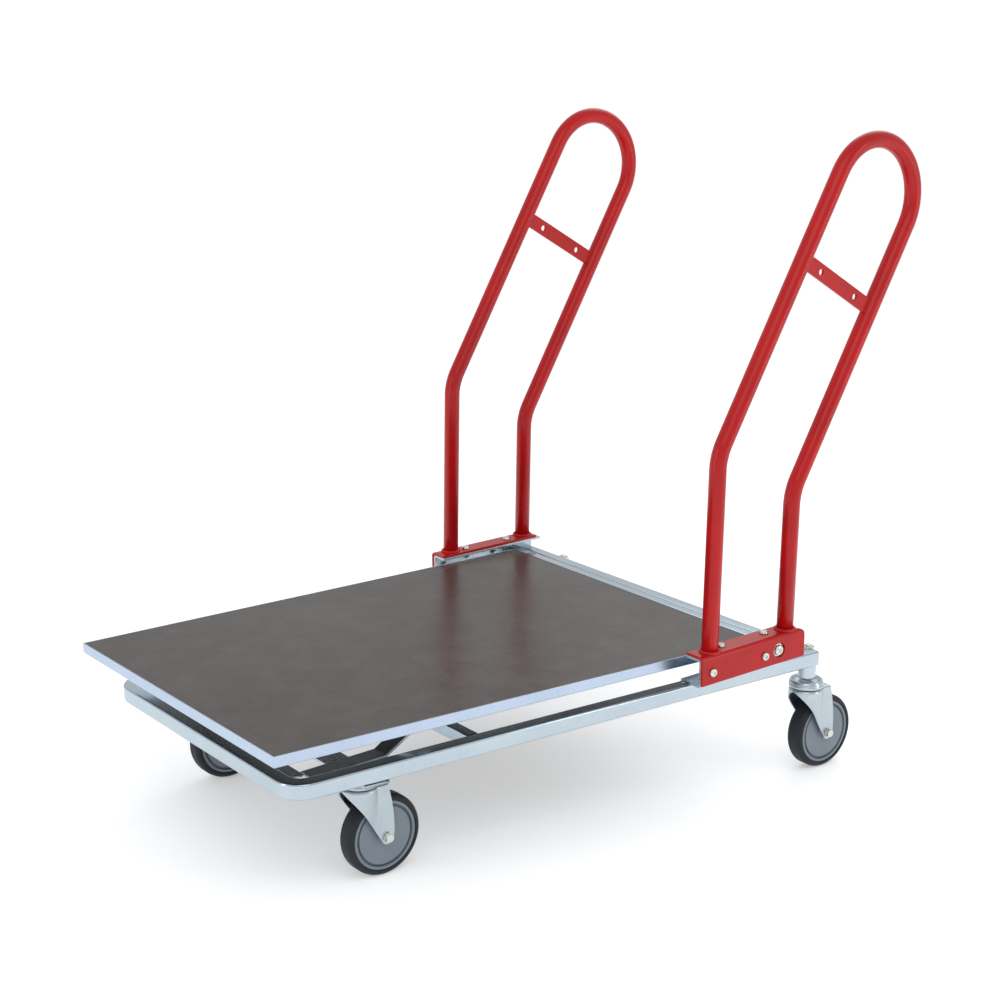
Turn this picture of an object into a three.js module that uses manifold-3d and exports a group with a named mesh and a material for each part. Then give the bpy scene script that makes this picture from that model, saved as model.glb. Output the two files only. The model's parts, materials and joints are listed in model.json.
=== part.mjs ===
// Folding platform cart: a tapered tube base on four swivel casters, two tall red
// side handles bolted to channels at the rear, and a plywood deck in a steel edge
// frame that hinges on the channels and folds up past vertical.
// Millimetres. +X runs from the deck's free (front) end to the handles, +Z is up,
// and z = 0 is the floor. "left" is the side at -Y, "right" the side at +Y, as seen
// by a person who stands at the handles and looks over the deck.

import * as THREE from 'three';
import { mergeVertices } from 'three/addons/utils/BufferGeometryUtils.js';
import Module from 'manifold-3d';

const wasm = await Module();
wasm.setup();

// ---------------------------------------------------------------- driving dimensions

const GAP = 0.3;                 // left between pieces that touch
const LENGTH = 1172.1;           // overall, deck front edge to the handles' rearmost point

const WHEEL_R = 62.5;
const WHEEL_W = 32;
const TRAIL = 37;                // axle behind the swivel axis
const MOUNT_Z = 161;             // plane that the casters bolt to

const RAIL = 25;                 // square base tube
const RAIL_WALL = 2;
const BASE_BEND_R = 32;
const BASE_FRONT = 51.9;         // the base tube's centre line: x, half width and height
const BASE_FRONT_HALF = 250.5;   // at the front, which is the lower and narrower end,
const BASE_FRONT_Z = 176;
const BASE_END_X = 1003;         // and at the rear sockets
const BASE_END_HALF = 329;
const BASE_END_Z = 202.5;
const BASE_SLOPE = (BASE_END_Z - BASE_FRONT_Z) / (BASE_END_X - BASE_FRONT);

const DECK_TOP = 252.7;          // top edge of the steel frame round the board
const DECK_H = 17.2;
const DECK_BOTTOM = DECK_TOP - DECK_H;
const DECK_LEN = 883;            // front edge to the back of the rear edge angle
const DECK_FRONT_HALF = 286;
const DECK_REAR_HALF = 313;
const EDGE_T = 2;                // edge angle's thickness
const EDGE_LEG = 24;             // edge angle's lower leg, under the board
const BOARD_T = 14.4;

const PIVOT_X = 892.4;           // the fold axis, along Y
const PIVOT_Z = 242.5;
const HINGE_TUBE = 18;           // square tube that turns on the pivot bolts

const BRACKET_FRONT = 724;       // the channel and the red base angle
const BRACKET_REAR = 950;
const ANGLE_TOP = 268;           // heights at the pivot: the bracket slopes with the base
const ANGLE_BOTTOM = 220.5;
const ANGLE_OUT = 355.5;         // outer face
const ANGLE_T = 4.5;
const FLANGE_IN = 319;           // inner edge of both upper flanges
const FOOT_IN = 306;             // inner edge of the channel's lower flange, on the rail
const PACKING_IN = 311;          // packing strip between that flange and the rail
const PACKING_OUT = 319;
const CHANNEL_T = 4.2;
const CHANNEL_OUT = ANGLE_OUT - ANGLE_T - GAP;
const CHANNEL_TOP = ANGLE_TOP - ANGLE_T - GAP;
const CHANNEL_BOTTOM = ANGLE_BOTTOM - CHANNEL_T;

const CROSS_TUBE = 25;           // tube that ties the two channels behind the deck
const CROSS_FRONT = 905;
const CROSS_TOP = 250;

const HANDLE_Y = 338.6;
const HANDLE_R = 13.5;
const HANDLE_WALL = 2;
const LEG_FRONT_X = 754;
const LEG_REAR_X = 920;
const KNEE_FRONT_Z = 575;
const KNEE_REAR_Z = 496;
const KNEE_R = 85;
const LEAN = THREE.MathUtils.degToRad(29.3);
const TOP_CENTRE_Z = 945.5;      // centre of the half circle at the top

const STRAP_Z = 817;
const STRAP_H = 25;
const STRAP_T = 5;
const STRAP_HOLE_R = 5;
const STRAP_HOLE_PITCH = 91;

const CASTERS = [
  { name: 'front_left', x: 178, y: -222, front: true },
  { name: 'front_right', x: 178, y: 222, front: true },
  { name: 'rear_left', x: BASE_END_X, y: -316, front: false },
  { name: 'rear_right', x: BASE_END_X, y: 316, front: false },
];
const KINGPIN_R = 6;
const SOCKET_R = 15;
const SOCKET_TOP = 207;

// ---------------------------------------------------------------- finishes

const finish = (color, roughness, metalness) =>
  new THREE.MeshStandardMaterial({ color, roughness, metalness });

const ZINC = finish(0xc3ced4, 0.35, 0.9);
const ZINC_BOLT = finish(0xcfd2cf, 0.3, 0.95);
const RED_POWDER = finish(0xb8141a, 0.3, 0.1);
const BOARD = finish(0x4a413b, 0.35, 0.0);
const TYRE = finish(0x32363b, 0.7, 0.0);
const CORE = finish(0x7e868e, 0.5, 0.0);

// ---------------------------------------------------------------- solids and cuts

// A closed geometry becomes a solid that can be joined or cut.
function toSolid(geometry) {
  const bare = (geometry.index ? geometry.toNonIndexed() : geometry.clone());
  bare.deleteAttribute('normal');
  bare.deleteAttribute('uv');
  const merged = mergeVertices(bare, 1e-4);
  return new wasm.Manifold(new wasm.Mesh({
    numProp: 3,
    vertProperties: new Float32Array(merged.attributes.position.array),
    triVerts: new Uint32Array(merged.index.array),
  }));
}

function toGeometry(solid) {
  const mesh = solid.getMesh();
  const geometry = new THREE.BufferGeometry();
  geometry.setAttribute('position', new THREE.BufferAttribute(mesh.vertProperties, 3));
  geometry.setIndex(new THREE.BufferAttribute(mesh.triVerts, 1));
  geometry.computeVertexNormals();
  return geometry;
}

const cut = (body, ...tools) =>
  toGeometry(tools.reduce((solid, tool) => solid.subtract(toSolid(tool)), toSolid(body)));

const join = (body, ...others) =>
  toGeometry(others.reduce((solid, other) => solid.add(toSolid(other)), toSolid(body)));

// The same shape on the other side of the cart, its faces still pointing out.
function mirrorY(geometry) {
  const flipped = (geometry.index ? geometry.toNonIndexed() : geometry.clone());
  flipped.deleteAttribute('uv');
  const p = flipped.attributes.position;
  for (let i = 0; i < p.count; i += 3) {
    const a = new THREE.Vector3().fromBufferAttribute(p, i);
    const b = new THREE.Vector3().fromBufferAttribute(p, i + 1);
    const c = new THREE.Vector3().fromBufferAttribute(p, i + 2);
    [a, c, b].forEach((v, k) => p.setXYZ(i + k, v.x, -v.y, v.z));
  }
  flipped.computeVertexNormals();
  return flipped;
}

const toSide = (side, geometry) => (side > 0 ? geometry : mirrorY(geometry));

// ---------------------------------------------------------------- basic shapes

function box(x0, x1, y0, y1, z0, z1) {
  return new THREE.BoxGeometry(x1 - x0, y1 - y0, z1 - z0)
    .translate((x0 + x1) / 2, (y0 + y1) / 2, (z0 + z1) / 2);
}

const ring = (r, n, turn = 0) => Array.from({ length: n }, (_, i) => {
  const a = turn + (2 * Math.PI * i) / n;
  return new THREE.Vector2(r * Math.cos(a), r * Math.sin(a));
});

const shapeOf = (points) => new THREE.Shape(points.map(([x, y]) => new THREE.Vector2(x, y)));

// A plan outline raised from z0 to z1.
const prism = (shape, z0, z1) =>
  new THREE.ExtrudeGeometry(shape, { depth: z1 - z0, bevelEnabled: false, steps: 1 })
    .translate(0, 0, z0);

// A side outline given as x, z and carried from y0 to y1.
const sidePlate = (shape, y0, y1) =>
  new THREE.ExtrudeGeometry(shape, { depth: y1 - y0, bevelEnabled: false, steps: 1 })
    .rotateX(Math.PI / 2).translate(0, y1, 0);

// An end outline given as y, z and carried from x0 to x1.
const endProfile = (shape, x0, x1) =>
  new THREE.ExtrudeGeometry(shape, { depth: x1 - x0, bevelEnabled: false, steps: 1 })
    .rotateX(Math.PI / 2).rotateZ(Math.PI / 2).translate(x0, 0, 0);

// Round bar between two heights, or along Y between two places.
const barZ = (x, y, r, z0, z1, n = 12) =>
  new THREE.CylinderGeometry(r, r, z1 - z0, n).rotateX(Math.PI / 2).translate(x, y, (z0 + z1) / 2);

const barY = (x, z, r, y0, y1, n = 12) =>
  new THREE.CylinderGeometry(r, r, y1 - y0, n).translate(x, (y0 + y1) / 2, z);

// A turned shape about Z from a closed [r, z] outline, listed counter-clockwise.
const turned = (outline, segments) =>
  new THREE.LatheGeometry(outline.map(([r, z]) => new THREE.Vector2(r, z)), segments)
    .rotateX(Math.PI / 2);

function squareSection(size, corner) {
  const h = size / 2 - corner;
  const shape = new THREE.Shape();
  shape.absarc(h, h, corner, 0, Math.PI / 2);
  shape.absarc(-h, h, corner, Math.PI / 2, Math.PI);
  shape.absarc(-h, -h, corner, Math.PI, 1.5 * Math.PI);
  shape.absarc(h, -h, corner, 1.5 * Math.PI, 2 * Math.PI);
  return shape;
}

const squareHole = (size) => new THREE.Path(
  [[1, 1], [-1, 1], [-1, -1], [1, -1]].map(([a, b]) => new THREE.Vector2(a * size / 2, b * size / 2)),
);

// A straight square tube along Y, centred on x and z.
function squareTubeY(size, wall, corner, x, z, half) {
  const section = squareSection(size, corner);
  section.holes.push(squareHole(size - 2 * wall));
  return new THREE.ExtrudeGeometry(section, {
    depth: 2 * half, bevelEnabled: false, steps: 1, curveSegments: 1,
  }).rotateX(Math.PI / 2).translate(x, half, z);
}

// A flat strip of thickness t that follows a polyline of [u, v] points.
function stripShape(points, t) {
  const p = points.map(([u, v]) => new THREE.Vector2(u, v));
  const dirs = p.slice(1).map((q, i) => q.clone().sub(p[i]).normalize());
  const offsets = p.map((_, i) => {
    const before = dirs[Math.max(i - 1, 0)];
    const after = dirs[Math.min(i, dirs.length - 1)];
    const mid = before.clone().add(after).normalize();
    const normal = new THREE.Vector2(-mid.y, mid.x);
    return normal.multiplyScalar(t / 2 / Math.max(mid.dot(before), 0.5));
  });
  const upper = p.map((q, i) => q.clone().add(offsets[i]));
  const lower = p.map((q, i) => q.clone().sub(offsets[i]));
  return new THREE.Shape([...lower, ...upper.reverse()]);
}

// ---------------------------------------------------------------- bent tubes

// A path that passes exactly through its stations, so that straight runs cost nothing.
class StationPath extends THREE.Curve {
  constructor(stations) {
    super();
    this.stations = stations;
  }

  station(u) {
    return this.stations[Math.round(u * (this.stations.length - 1))];
  }

  getPointAt(u) {
    return this.station(u).point.clone();
  }

  getTangentAt(u) {
    return this.station(u).tangent.clone();
  }

  getSpacedPoints() {
    return this.stations.map((s) => s.point.clone());
  }
}

// The stations of a polyline whose corners are rounded: bends[i] is [radius, steps].
function bentPath(corners, bends) {
  const stations = [];
  const put = (point, tangent) => {
    const last = stations[stations.length - 1];
    if (!last || last.point.distanceTo(point) > 0.01) stations.push({ point, tangent });
  };
  const dir = (a, b) => b.clone().sub(a).normalize();
  put(corners[0], dir(corners[0], corners[1]));
  bends.forEach(([radius, steps], i) => {
    const corner = corners[i + 1];
    const into = dir(corners[i], corner);
    const out = dir(corner, corners[i + 2]);
    const turn = into.angleTo(out);
    const reach = radius * Math.tan(turn / 2);
    const start = corner.clone().addScaledVector(into, -reach);
    const end = corner.clone().addScaledVector(out, reach);
    const inward = out.clone().sub(into).normalize();
    const centre = corner.clone().addScaledVector(inward, radius / Math.cos(turn / 2));
    const a = start.sub(centre);
    const b = end.sub(centre);
    for (let k = 0; k <= steps; k += 1) {
      const f = k / steps;
      const wa = Math.sin((1 - f) * turn) / Math.sin(turn);
      const wb = Math.sin(f * turn) / Math.sin(turn);
      const da = -Math.cos((1 - f) * turn);
      const db = Math.cos(f * turn);
      put(
        centre.clone().addScaledVector(a, wa).addScaledVector(b, wb),
        a.clone().multiplyScalar(da).addScaledVector(b, db).normalize(),
      );
    }
  });
  const n = corners.length;
  put(corners[n - 1], dir(corners[n - 2], corners[n - 1]));
  return new StationPath(stations);
}

const sweep = (section, path) => new THREE.ExtrudeGeometry(section, {
  steps: path.stations.length - 1, extrudePath: path, bevelEnabled: false, curveSegments: 1,
});

// ---------------------------------------------------------------- fasteners

// All are built upright: the head's seat is at z = 0 and the shank points down.

const AROUND = 12;               // facets round a shank
const hexPrism = (r, h, z0) =>
  new THREE.CylinderGeometry(r, r, h, 6).rotateX(Math.PI / 2).translate(0, 0, z0 + h / 2);

const HANDLE_BOLT = { shankR: 4, headR: 7, headH: 4.5, reach: 17, nutR: 7.5, nutH: 6 };
const PIVOT_BOLT = { shankR: 5, headR: 8.6, headH: 5, washerR: 10.5, reach: 60 };
const AXLE_BOLT = { shankR: 4, headR: 7.2, headH: 4.5, washerR: 8, nutR: 7.2, nutH: 6, thread: 9 };
const WASHER_T = 2;

// Domed head outside, nut on the far side of what it grips.
function buttonBolt({ shankR, headR, headH, reach, nutR, nutH }, grip) {
  const dome = [
    [0, -reach], [shankR, -reach], [shankR, 0], [headR, 0], [headR * 0.72, headH * 0.8], [0, headH],
  ];
  return join(turned(dome, 8), hexPrism(nutR, nutH, -grip - nutH));
}

// Hexagonal head on a washer, with a nut when a grip is given.
function hexBolt({ shankR, headR, headH, washerR, nutR, nutH }, reach, grip = 0) {
  const shank = [
    [0, -reach], [shankR, -reach], [shankR, 0], [washerR, 0], [washerR, WASHER_T], [0, WASHER_T],
  ];
  const parts = [hexPrism(headR, headH, WASHER_T - 0.1)];
  if (grip) parts.push(hexPrism(nutR, nutH, -grip - nutH));
  return join(turned(shank, AROUND), ...parts);
}

// ---------------------------------------------------------------- base frame

const v3 = (x, y, z) => new THREE.Vector3(x, y, z);

// Centre of a side rail at a place x: half the base's width there, and its height.
const railHalf = (x) =>
  THREE.MathUtils.mapLinear(x, BASE_FRONT, BASE_END_X, BASE_FRONT_HALF, BASE_END_HALF);
const railZ = (x) => BASE_FRONT_Z + (x - BASE_FRONT) * BASE_SLOPE;
const railInside = (x) => railHalf(x) - RAIL / 2 - 2 * GAP;

// One square tube bent to a U that is open at the rear and slopes down to the front, its ends
// coped round the sockets.
function baseTubeFrame() {
  const corners = [
    v3(BASE_END_X, BASE_END_HALF, BASE_END_Z), v3(BASE_FRONT, BASE_FRONT_HALF, BASE_FRONT_Z),
    v3(BASE_FRONT, -BASE_FRONT_HALF, BASE_FRONT_Z), v3(BASE_END_X, -BASE_END_HALF, BASE_END_Z),
  ];
  const section = squareSection(RAIL, 3.5);
  section.holes.push(squareHole(RAIL - 2 * RAIL_WALL));
  const tube = sweep(section, bentPath(corners, [[BASE_BEND_R, 6], [BASE_BEND_R, 6]]));
  const copes = CASTERS.filter((c) => !c.front)
    .map((c) => barZ(c.x, c.y, SOCKET_R + GAP, BASE_END_Z - RAIL, BASE_END_Z + RAIL, 20));
  return cut(tube, ...copes);
}

const MID_TUBE_FRONT = 341;
const MID_TUBE = 20;
const MID_TUBE_WALL = 1.5;
const MID_TUBE_TOP = railZ(MID_TUBE_FRONT + MID_TUBE / 2) + RAIL / 2;

// Straight tube between the rails, flush with their tops, its ends cut to their taper.
function midCrossTube() {
  const rear = MID_TUBE_FRONT + MID_TUBE;
  const plan = shapeOf([
    [MID_TUBE_FRONT, -railInside(MID_TUBE_FRONT)], [rear, -railInside(rear)],
    [rear, railInside(rear)], [MID_TUBE_FRONT, railInside(MID_TUBE_FRONT)],
  ]);
  const w = MID_TUBE_WALL;
  const reach = BASE_END_HALF;
  return cut(
    prism(plan, MID_TUBE_TOP - MID_TUBE, MID_TUBE_TOP),
    box(MID_TUBE_FRONT + w, rear - w, -reach, reach, MID_TUBE_TOP - MID_TUBE + w, MID_TUBE_TOP - w),
  );
}

const CARRIER_FRONT = 156;
const CARRIER_REAR = 198;
const CARRIER_T = 5;

// Flat bar under the rails that the front casters bolt to.
function frontCarrier() {
  const half = railHalf(CARRIER_FRONT) + RAIL / 2;
  const holes = CASTERS.filter((c) => c.front)
    .map((c) => barZ(c.x, c.y, KINGPIN_R + 0.5, MOUNT_Z - 5, MOUNT_Z + CARRIER_T + 5));
  return cut(box(CARRIER_FRONT, CARRIER_REAR, -half, half, MOUNT_Z, MOUNT_Z + CARRIER_T), ...holes);
}

const REST_T = 4;
const REST_W = 31;
const REST_START = 88.4;
const REST_START_Z = 182.2;      // middle of the thickness
const REST_FOLD_X = 214;         // where the rear end turns up
const REST_FOLD_Z = 186.8;
const REST_TOP_X = 291;          // where it levels out under the deck
const REST_END = 303;

// Strip inside a rail; its rear end turns up and carries the folded-down deck.
function restStrip() {
  const top = DECK_BOTTOM - GAP - REST_T / 2;
  const profile = [
    [REST_START, REST_START_Z], [REST_FOLD_X, REST_FOLD_Z], [REST_TOP_X, top], [REST_END, top],
  ];
  const outer = railInside(REST_START);
  return sidePlate(stripShape(profile, REST_T), outer - REST_W, outer);
}

// Flat strip behind the front tube that joins the two rest strips.
const restCrossStrip = () => box(
  BASE_FRONT + RAIL / 2 + 2 * GAP, REST_START - 2 * GAP,
  BASE_BEND_R - BASE_FRONT_HALF, BASE_FRONT_HALF - BASE_BEND_R,
  REST_START_Z - REST_T / 2, REST_START_Z + REST_T / 2,
);

const rearSocket = (caster) => cut(
  barZ(caster.x, caster.y, SOCKET_R, MOUNT_Z, SOCKET_TOP, 20),
  barZ(caster.x, caster.y, KINGPIN_R + 0.5, MOUNT_Z - 5, SOCKET_TOP + 5),
);

// ---------------------------------------------------------------- channels and base angles

// Places of the bolts in a side: through the upright flange as x, z and through the
// top flange as x, |y|.
const SIDE_BOLTS = [[746, 240], [860, 240]];
const TOP_BOLTS = [[784, 333], [879, 333]];
const BOLT_PLAY = 0.5;
const BOLT_HOLE_R = HANDLE_BOLT.shankR + BOLT_PLAY;
const PIVOT_HOLE_R = PIVOT_BOLT.shankR + BOLT_PLAY;
const PIVOT_WINDOW_R = 12.5;
const GRIP = CHANNEL_T + ANGLE_T + 2 * GAP;

// Everything of a bracket is drawn level, then turned about the pivot to lie along the rail.
const BRACKET_TILT = Math.atan(BASE_SLOPE);
const alongRail = (geometry) => geometry.translate(-PIVOT_X, 0, -PIVOT_Z)
  .rotateY(-BRACKET_TILT).translate(PIVOT_X, 0, PIVOT_Z);

// Top of the base angle at a place x.
const angleTopAt = (x) => ANGLE_TOP + (x - PIVOT_X) * BASE_SLOPE;

const sideHoles = () => SIDE_BOLTS.map(([x, z]) => barY(x, z, BOLT_HOLE_R, 330, 360));
const topHoles = () => TOP_BOLTS.map(([x, y]) => barZ(x, y, BOLT_HOLE_R, 250, 275));

// Galvanised channel, open to the inside, on a packing strip along the rail.
function bracketChannel() {
  const front = BRACKET_FRONT + 1;
  const rear = BRACKET_REAR - 1;
  const section = shapeOf([
    [FOOT_IN, CHANNEL_BOTTOM], [CHANNEL_OUT - 2, CHANNEL_BOTTOM], [CHANNEL_OUT, CHANNEL_BOTTOM + 2],
    [CHANNEL_OUT, CHANNEL_TOP - 3], [CHANNEL_OUT - 3, CHANNEL_TOP], [FLANGE_IN, CHANNEL_TOP],
    [FLANGE_IN, CHANNEL_TOP - CHANNEL_T], [CHANNEL_OUT - CHANNEL_T, CHANNEL_TOP - CHANNEL_T],
    [CHANNEL_OUT - CHANNEL_T, CHANNEL_BOTTOM + CHANNEL_T], [FOOT_IN, CHANNEL_BOTTOM + CHANNEL_T],
  ]);
  const railTop = railZ(PIVOT_X) + RAIL / 2 + 2 * GAP;
  const packing = box(front + 16, rear - 16, PACKING_IN, PACKING_OUT, railTop, CHANNEL_BOTTOM + 1);
  const pivotHole = barY(PIVOT_X, PIVOT_Z, PIVOT_HOLE_R, 330, 360);
  const channel = join(endProfile(section, front, rear), packing);
  return alongRail(cut(channel, ...sideHoles(), ...topHoles(), pivotHole));
}

// Red angle that the handle stands on, with a window for the pivot bolt's head.
function handleBaseAngle() {
  const bendR = 6;
  const section = new THREE.Shape();
  section.moveTo(FLANGE_IN, ANGLE_TOP - ANGLE_T);
  section.lineTo(ANGLE_OUT - ANGLE_T, ANGLE_TOP - ANGLE_T);
  section.lineTo(ANGLE_OUT - ANGLE_T, ANGLE_BOTTOM);
  section.lineTo(ANGLE_OUT, ANGLE_BOTTOM);
  section.absarc(ANGLE_OUT - bendR, ANGLE_TOP - bendR, bendR, 0, Math.PI / 2);
  section.lineTo(FLANGE_IN, ANGLE_TOP);
  const angle = new THREE.ExtrudeGeometry(section, {
    depth: BRACKET_REAR - BRACKET_FRONT, bevelEnabled: false, steps: 1, curveSegments: 3,
  }).rotateX(Math.PI / 2).rotateZ(Math.PI / 2).translate(BRACKET_FRONT, 0, 0);
  const window = barY(PIVOT_X, PIVOT_Z, PIVOT_WINDOW_R, 345, 360, 20);
  const roundR = 11;
  const corner = new THREE.Shape();
  corner.moveTo(BRACKET_REAR + 5, ANGLE_TOP - roundR);
  corner.lineTo(BRACKET_REAR + 5, ANGLE_TOP + 5);
  corner.lineTo(BRACKET_REAR - roundR, ANGLE_TOP + 5);
  corner.absarc(BRACKET_REAR - roundR, ANGLE_TOP - roundR, roundR, Math.PI / 2, 0, true);
  const rounding = new THREE.ExtrudeGeometry(corner, {
    depth: 30, bevelEnabled: false, steps: 1, curveSegments: 4,
  }).rotateX(Math.PI / 2).translate(0, 370, 0);
  return alongRail(cut(angle, ...sideHoles(), ...topHoles(), window, rounding));
}

const sideBolt = ([x, z]) => alongRail(
  buttonBolt(HANDLE_BOLT, GRIP).rotateX(-Math.PI / 2).translate(x, ANGLE_OUT + GAP, z),
);

const topBolt = ([x, y]) => alongRail(buttonBolt(HANDLE_BOLT, GRIP).translate(x, y, ANGLE_TOP + GAP));

const pivotBolt = () => hexBolt(PIVOT_BOLT, PIVOT_BOLT.reach)
  .rotateX(-Math.PI / 2).translate(PIVOT_X, CHANNEL_OUT + GAP, PIVOT_Z);

function pivotBush() {
  const y0 = DECK_REAR_HALF + 2 * GAP;
  const y1 = CHANNEL_OUT - CHANNEL_T - GAP;
  return cut(
    barY(PIVOT_X, PIVOT_Z, 8, y0, y1, 16),
    barY(PIVOT_X, PIVOT_Z, PIVOT_HOLE_R, y0 - 5, y1 + 5),
  );
}

const rearCrossTube = () => squareTubeY(
  CROSS_TUBE, RAIL_WALL, 3.5, CROSS_FRONT + CROSS_TUBE / 2, CROSS_TOP - CROSS_TUBE / 2,
  CHANNEL_OUT - CHANNEL_T - GAP,
);

// ---------------------------------------------------------------- handles

const ALONG = v3(Math.sin(LEAN), 0, Math.cos(LEAN));    // up the slanted legs
const ACROSS = v3(Math.cos(LEAN), 0, -Math.sin(LEAN));  // from the front leg to the rear leg

const kneeFront = v3(LEG_FRONT_X, HANDLE_Y, KNEE_FRONT_Z);
const kneeRear = v3(LEG_REAR_X, HANDLE_Y, KNEE_REAR_Z);
const TOP_R = kneeRear.clone().sub(kneeFront).dot(ACROSS) / 2;

// The point between the slanted legs at a height z.
function midline(z) {
  const start = kneeFront.clone().addScaledVector(ACROSS, TOP_R);
  return start.addScaledVector(ALONG, (z - start.z) / ALONG.z);
}

function handleTube() {
  const top = midline(TOP_CENTRE_Z).addScaledVector(ALONG, TOP_R);
  const foot = (x) => v3(x, HANDLE_Y, angleTopAt(x + HANDLE_R) + GAP);
  const corners = [
    foot(LEG_FRONT_X), kneeFront,
    top.clone().addScaledVector(ACROSS, -TOP_R), top.clone().addScaledVector(ACROSS, TOP_R),
    kneeRear, foot(LEG_REAR_X),
  ];
  const section = new THREE.Shape(ring(HANDLE_R, 12));
  section.holes.push(new THREE.Path(ring(HANDLE_R - HANDLE_WALL, 8)));
  return sweep(section, bentPath(corners, [[KNEE_R, 4], [TOP_R, 7], [TOP_R, 7], [KNEE_R, 4]]));
}

// Drilled flat strap that joins the slanted legs.
function handleStrap() {
  const half = TOP_R - HANDLE_R - GAP;
  const holes = [-1, 1].map((s) => barY(s * STRAP_HOLE_PITCH / 2, 0, STRAP_HOLE_R, -20, 20));
  const centre = midline(STRAP_Z);
  return cut(box(-half, half, -STRAP_T / 2, STRAP_T / 2, -STRAP_H / 2, STRAP_H / 2), ...holes)
    .rotateY(LEAN).translate(centre.x, HANDLE_Y, centre.z);
}

// ---------------------------------------------------------------- deck

// Half width of the deck at a place x, measured to a line inset by d.
const deckSlope = Math.atan((DECK_REAR_HALF - DECK_FRONT_HALF) / DECK_LEN);
const deckHalf = (x, d = 0) =>
  DECK_FRONT_HALF + x * Math.tan(deckSlope) - d / Math.cos(deckSlope);

const trapezoid = (x0, x1, d) => shapeOf([
  [x0, -deckHalf(x0, d)], [x1, -deckHalf(x1, d)], [x1, deckHalf(x1, d)], [x0, deckHalf(x0, d)],
]);

const deckBoard = () => {
  const inset = EDGE_T + GAP;
  const z0 = DECK_BOTTOM + EDGE_T + GAP;
  return prism(trapezoid(inset, DECK_LEN - inset, inset), z0, z0 + BOARD_T);
};

// A mitred edge angle from an outer line and a line inset by the leg's width.
function mitredAngle(outer, inner, lower) {
  const wall = prism(shapeOf([...outer, ...inner]), DECK_BOTTOM, DECK_TOP);
  const leg = prism(shapeOf([...outer, ...lower]), DECK_BOTTOM, DECK_BOTTOM + EDGE_T);
  return join(wall, leg);
}

function deckSideAngle() {
  const g = GAP / 2;
  const line = (d) => [[d + g, deckHalf(d + g, d)], [DECK_LEN - d - g, deckHalf(DECK_LEN - d - g, d)]];
  return mitredAngle(line(0).reverse(), line(EDGE_T), line(EDGE_LEG));
}

function deckEndAngle(rear) {
  const place = (d) => (rear ? DECK_LEN - d : d);
  const half = (d) => deckHalf(place(d), d) - 2 * GAP;
  const line = (d, s) => [place(d), s * half(d)];
  const s = rear ? 1 : -1;
  return mitredAngle(
    [line(0, -s), line(0, s)],
    [line(EDGE_T, s), line(EDGE_T, -s)],
    [line(EDGE_LEG, s), line(EDGE_LEG, -s)],
  );
}

// Square tube behind the deck, with solid bored ends that turn on the pivot bolts.
function deckHingeTube() {
  const half = DECK_REAR_HALF;
  const plug = 26;
  const h = HINGE_TUBE / 2 - 1;
  const tube = squareTubeY(HINGE_TUBE, 1.5, 2, PIVOT_X, PIVOT_Z, half);
  const plugs = [-1, 1].map((s) => box(
    PIVOT_X - h, PIVOT_X + h, s > 0 ? half - plug : -half, s > 0 ? half : plug - half,
    PIVOT_Z - h, PIVOT_Z + h,
  ));
  const bores = [-1, 1].map((s) => barY(
    PIVOT_X, PIVOT_Z, PIVOT_HOLE_R, s > 0 ? half - plug - 10 : -half - 10,
    s > 0 ? half + 10 : plug + 10 - half,
  ));
  return cut(join(tube, ...plugs), ...bores);
}

// ---------------------------------------------------------------- casters

// All caster pieces are built round the swivel axis at x = 0, y = 0.

const FORK_IN = WHEEL_W / 2 + 3;
const FORK_T = 2.5;
const CROWN_TOP = 146;
const AXLE_HOLE_R = AXLE_BOLT.shankR + GAP;
const FORK_END_R = 11;           // round end of a leg at the axle
const RACE_R = 27;
const HEX_R = 10.5;              // corners of the kingpin's head and nut
const KINGPIN_HEAD_H = 7;
const KINGPIN_NUT_H = 8;
const KINGPIN_WASHER_T = 1.8;
const KINGPIN_ABOVE = 12;        // thread end above what it is bolted to

const swivelCup = () => turned([
  [KINGPIN_R + 0.5, 151], [22, CROWN_TOP + 1], [29, CROWN_TOP + 1], [28, CROWN_TOP + 8],
  [20, MOUNT_Z - GAP], [KINGPIN_R + 0.5, MOUNT_Z - GAP], [KINGPIN_R + 0.5, 151],
], 16);

// Head inside the fork, shank up through the cup and what it is bolted to, nut on top.
function kingpin(caster) {
  const headTop = CROWN_TOP - FORK_T - 2 * GAP - 1;
  const seat = (caster.front ? MOUNT_Z + CARRIER_T : SOCKET_TOP) + GAP;
  const end = seat + KINGPIN_ABOVE;
  const pin = turned([[0, headTop - 1], [KINGPIN_R, headTop - 1], [KINGPIN_R, end], [0, end]], AROUND);
  return join(
    pin,
    hexPrism(HEX_R, KINGPIN_HEAD_H, headTop - KINGPIN_HEAD_H),
    barZ(0, 0, HEX_R + 1, seat, seat + KINGPIN_WASHER_T, 16),
    hexPrism(HEX_R, KINGPIN_NUT_H, seat + KINGPIN_WASHER_T - 0.1),
  );
}

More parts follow.
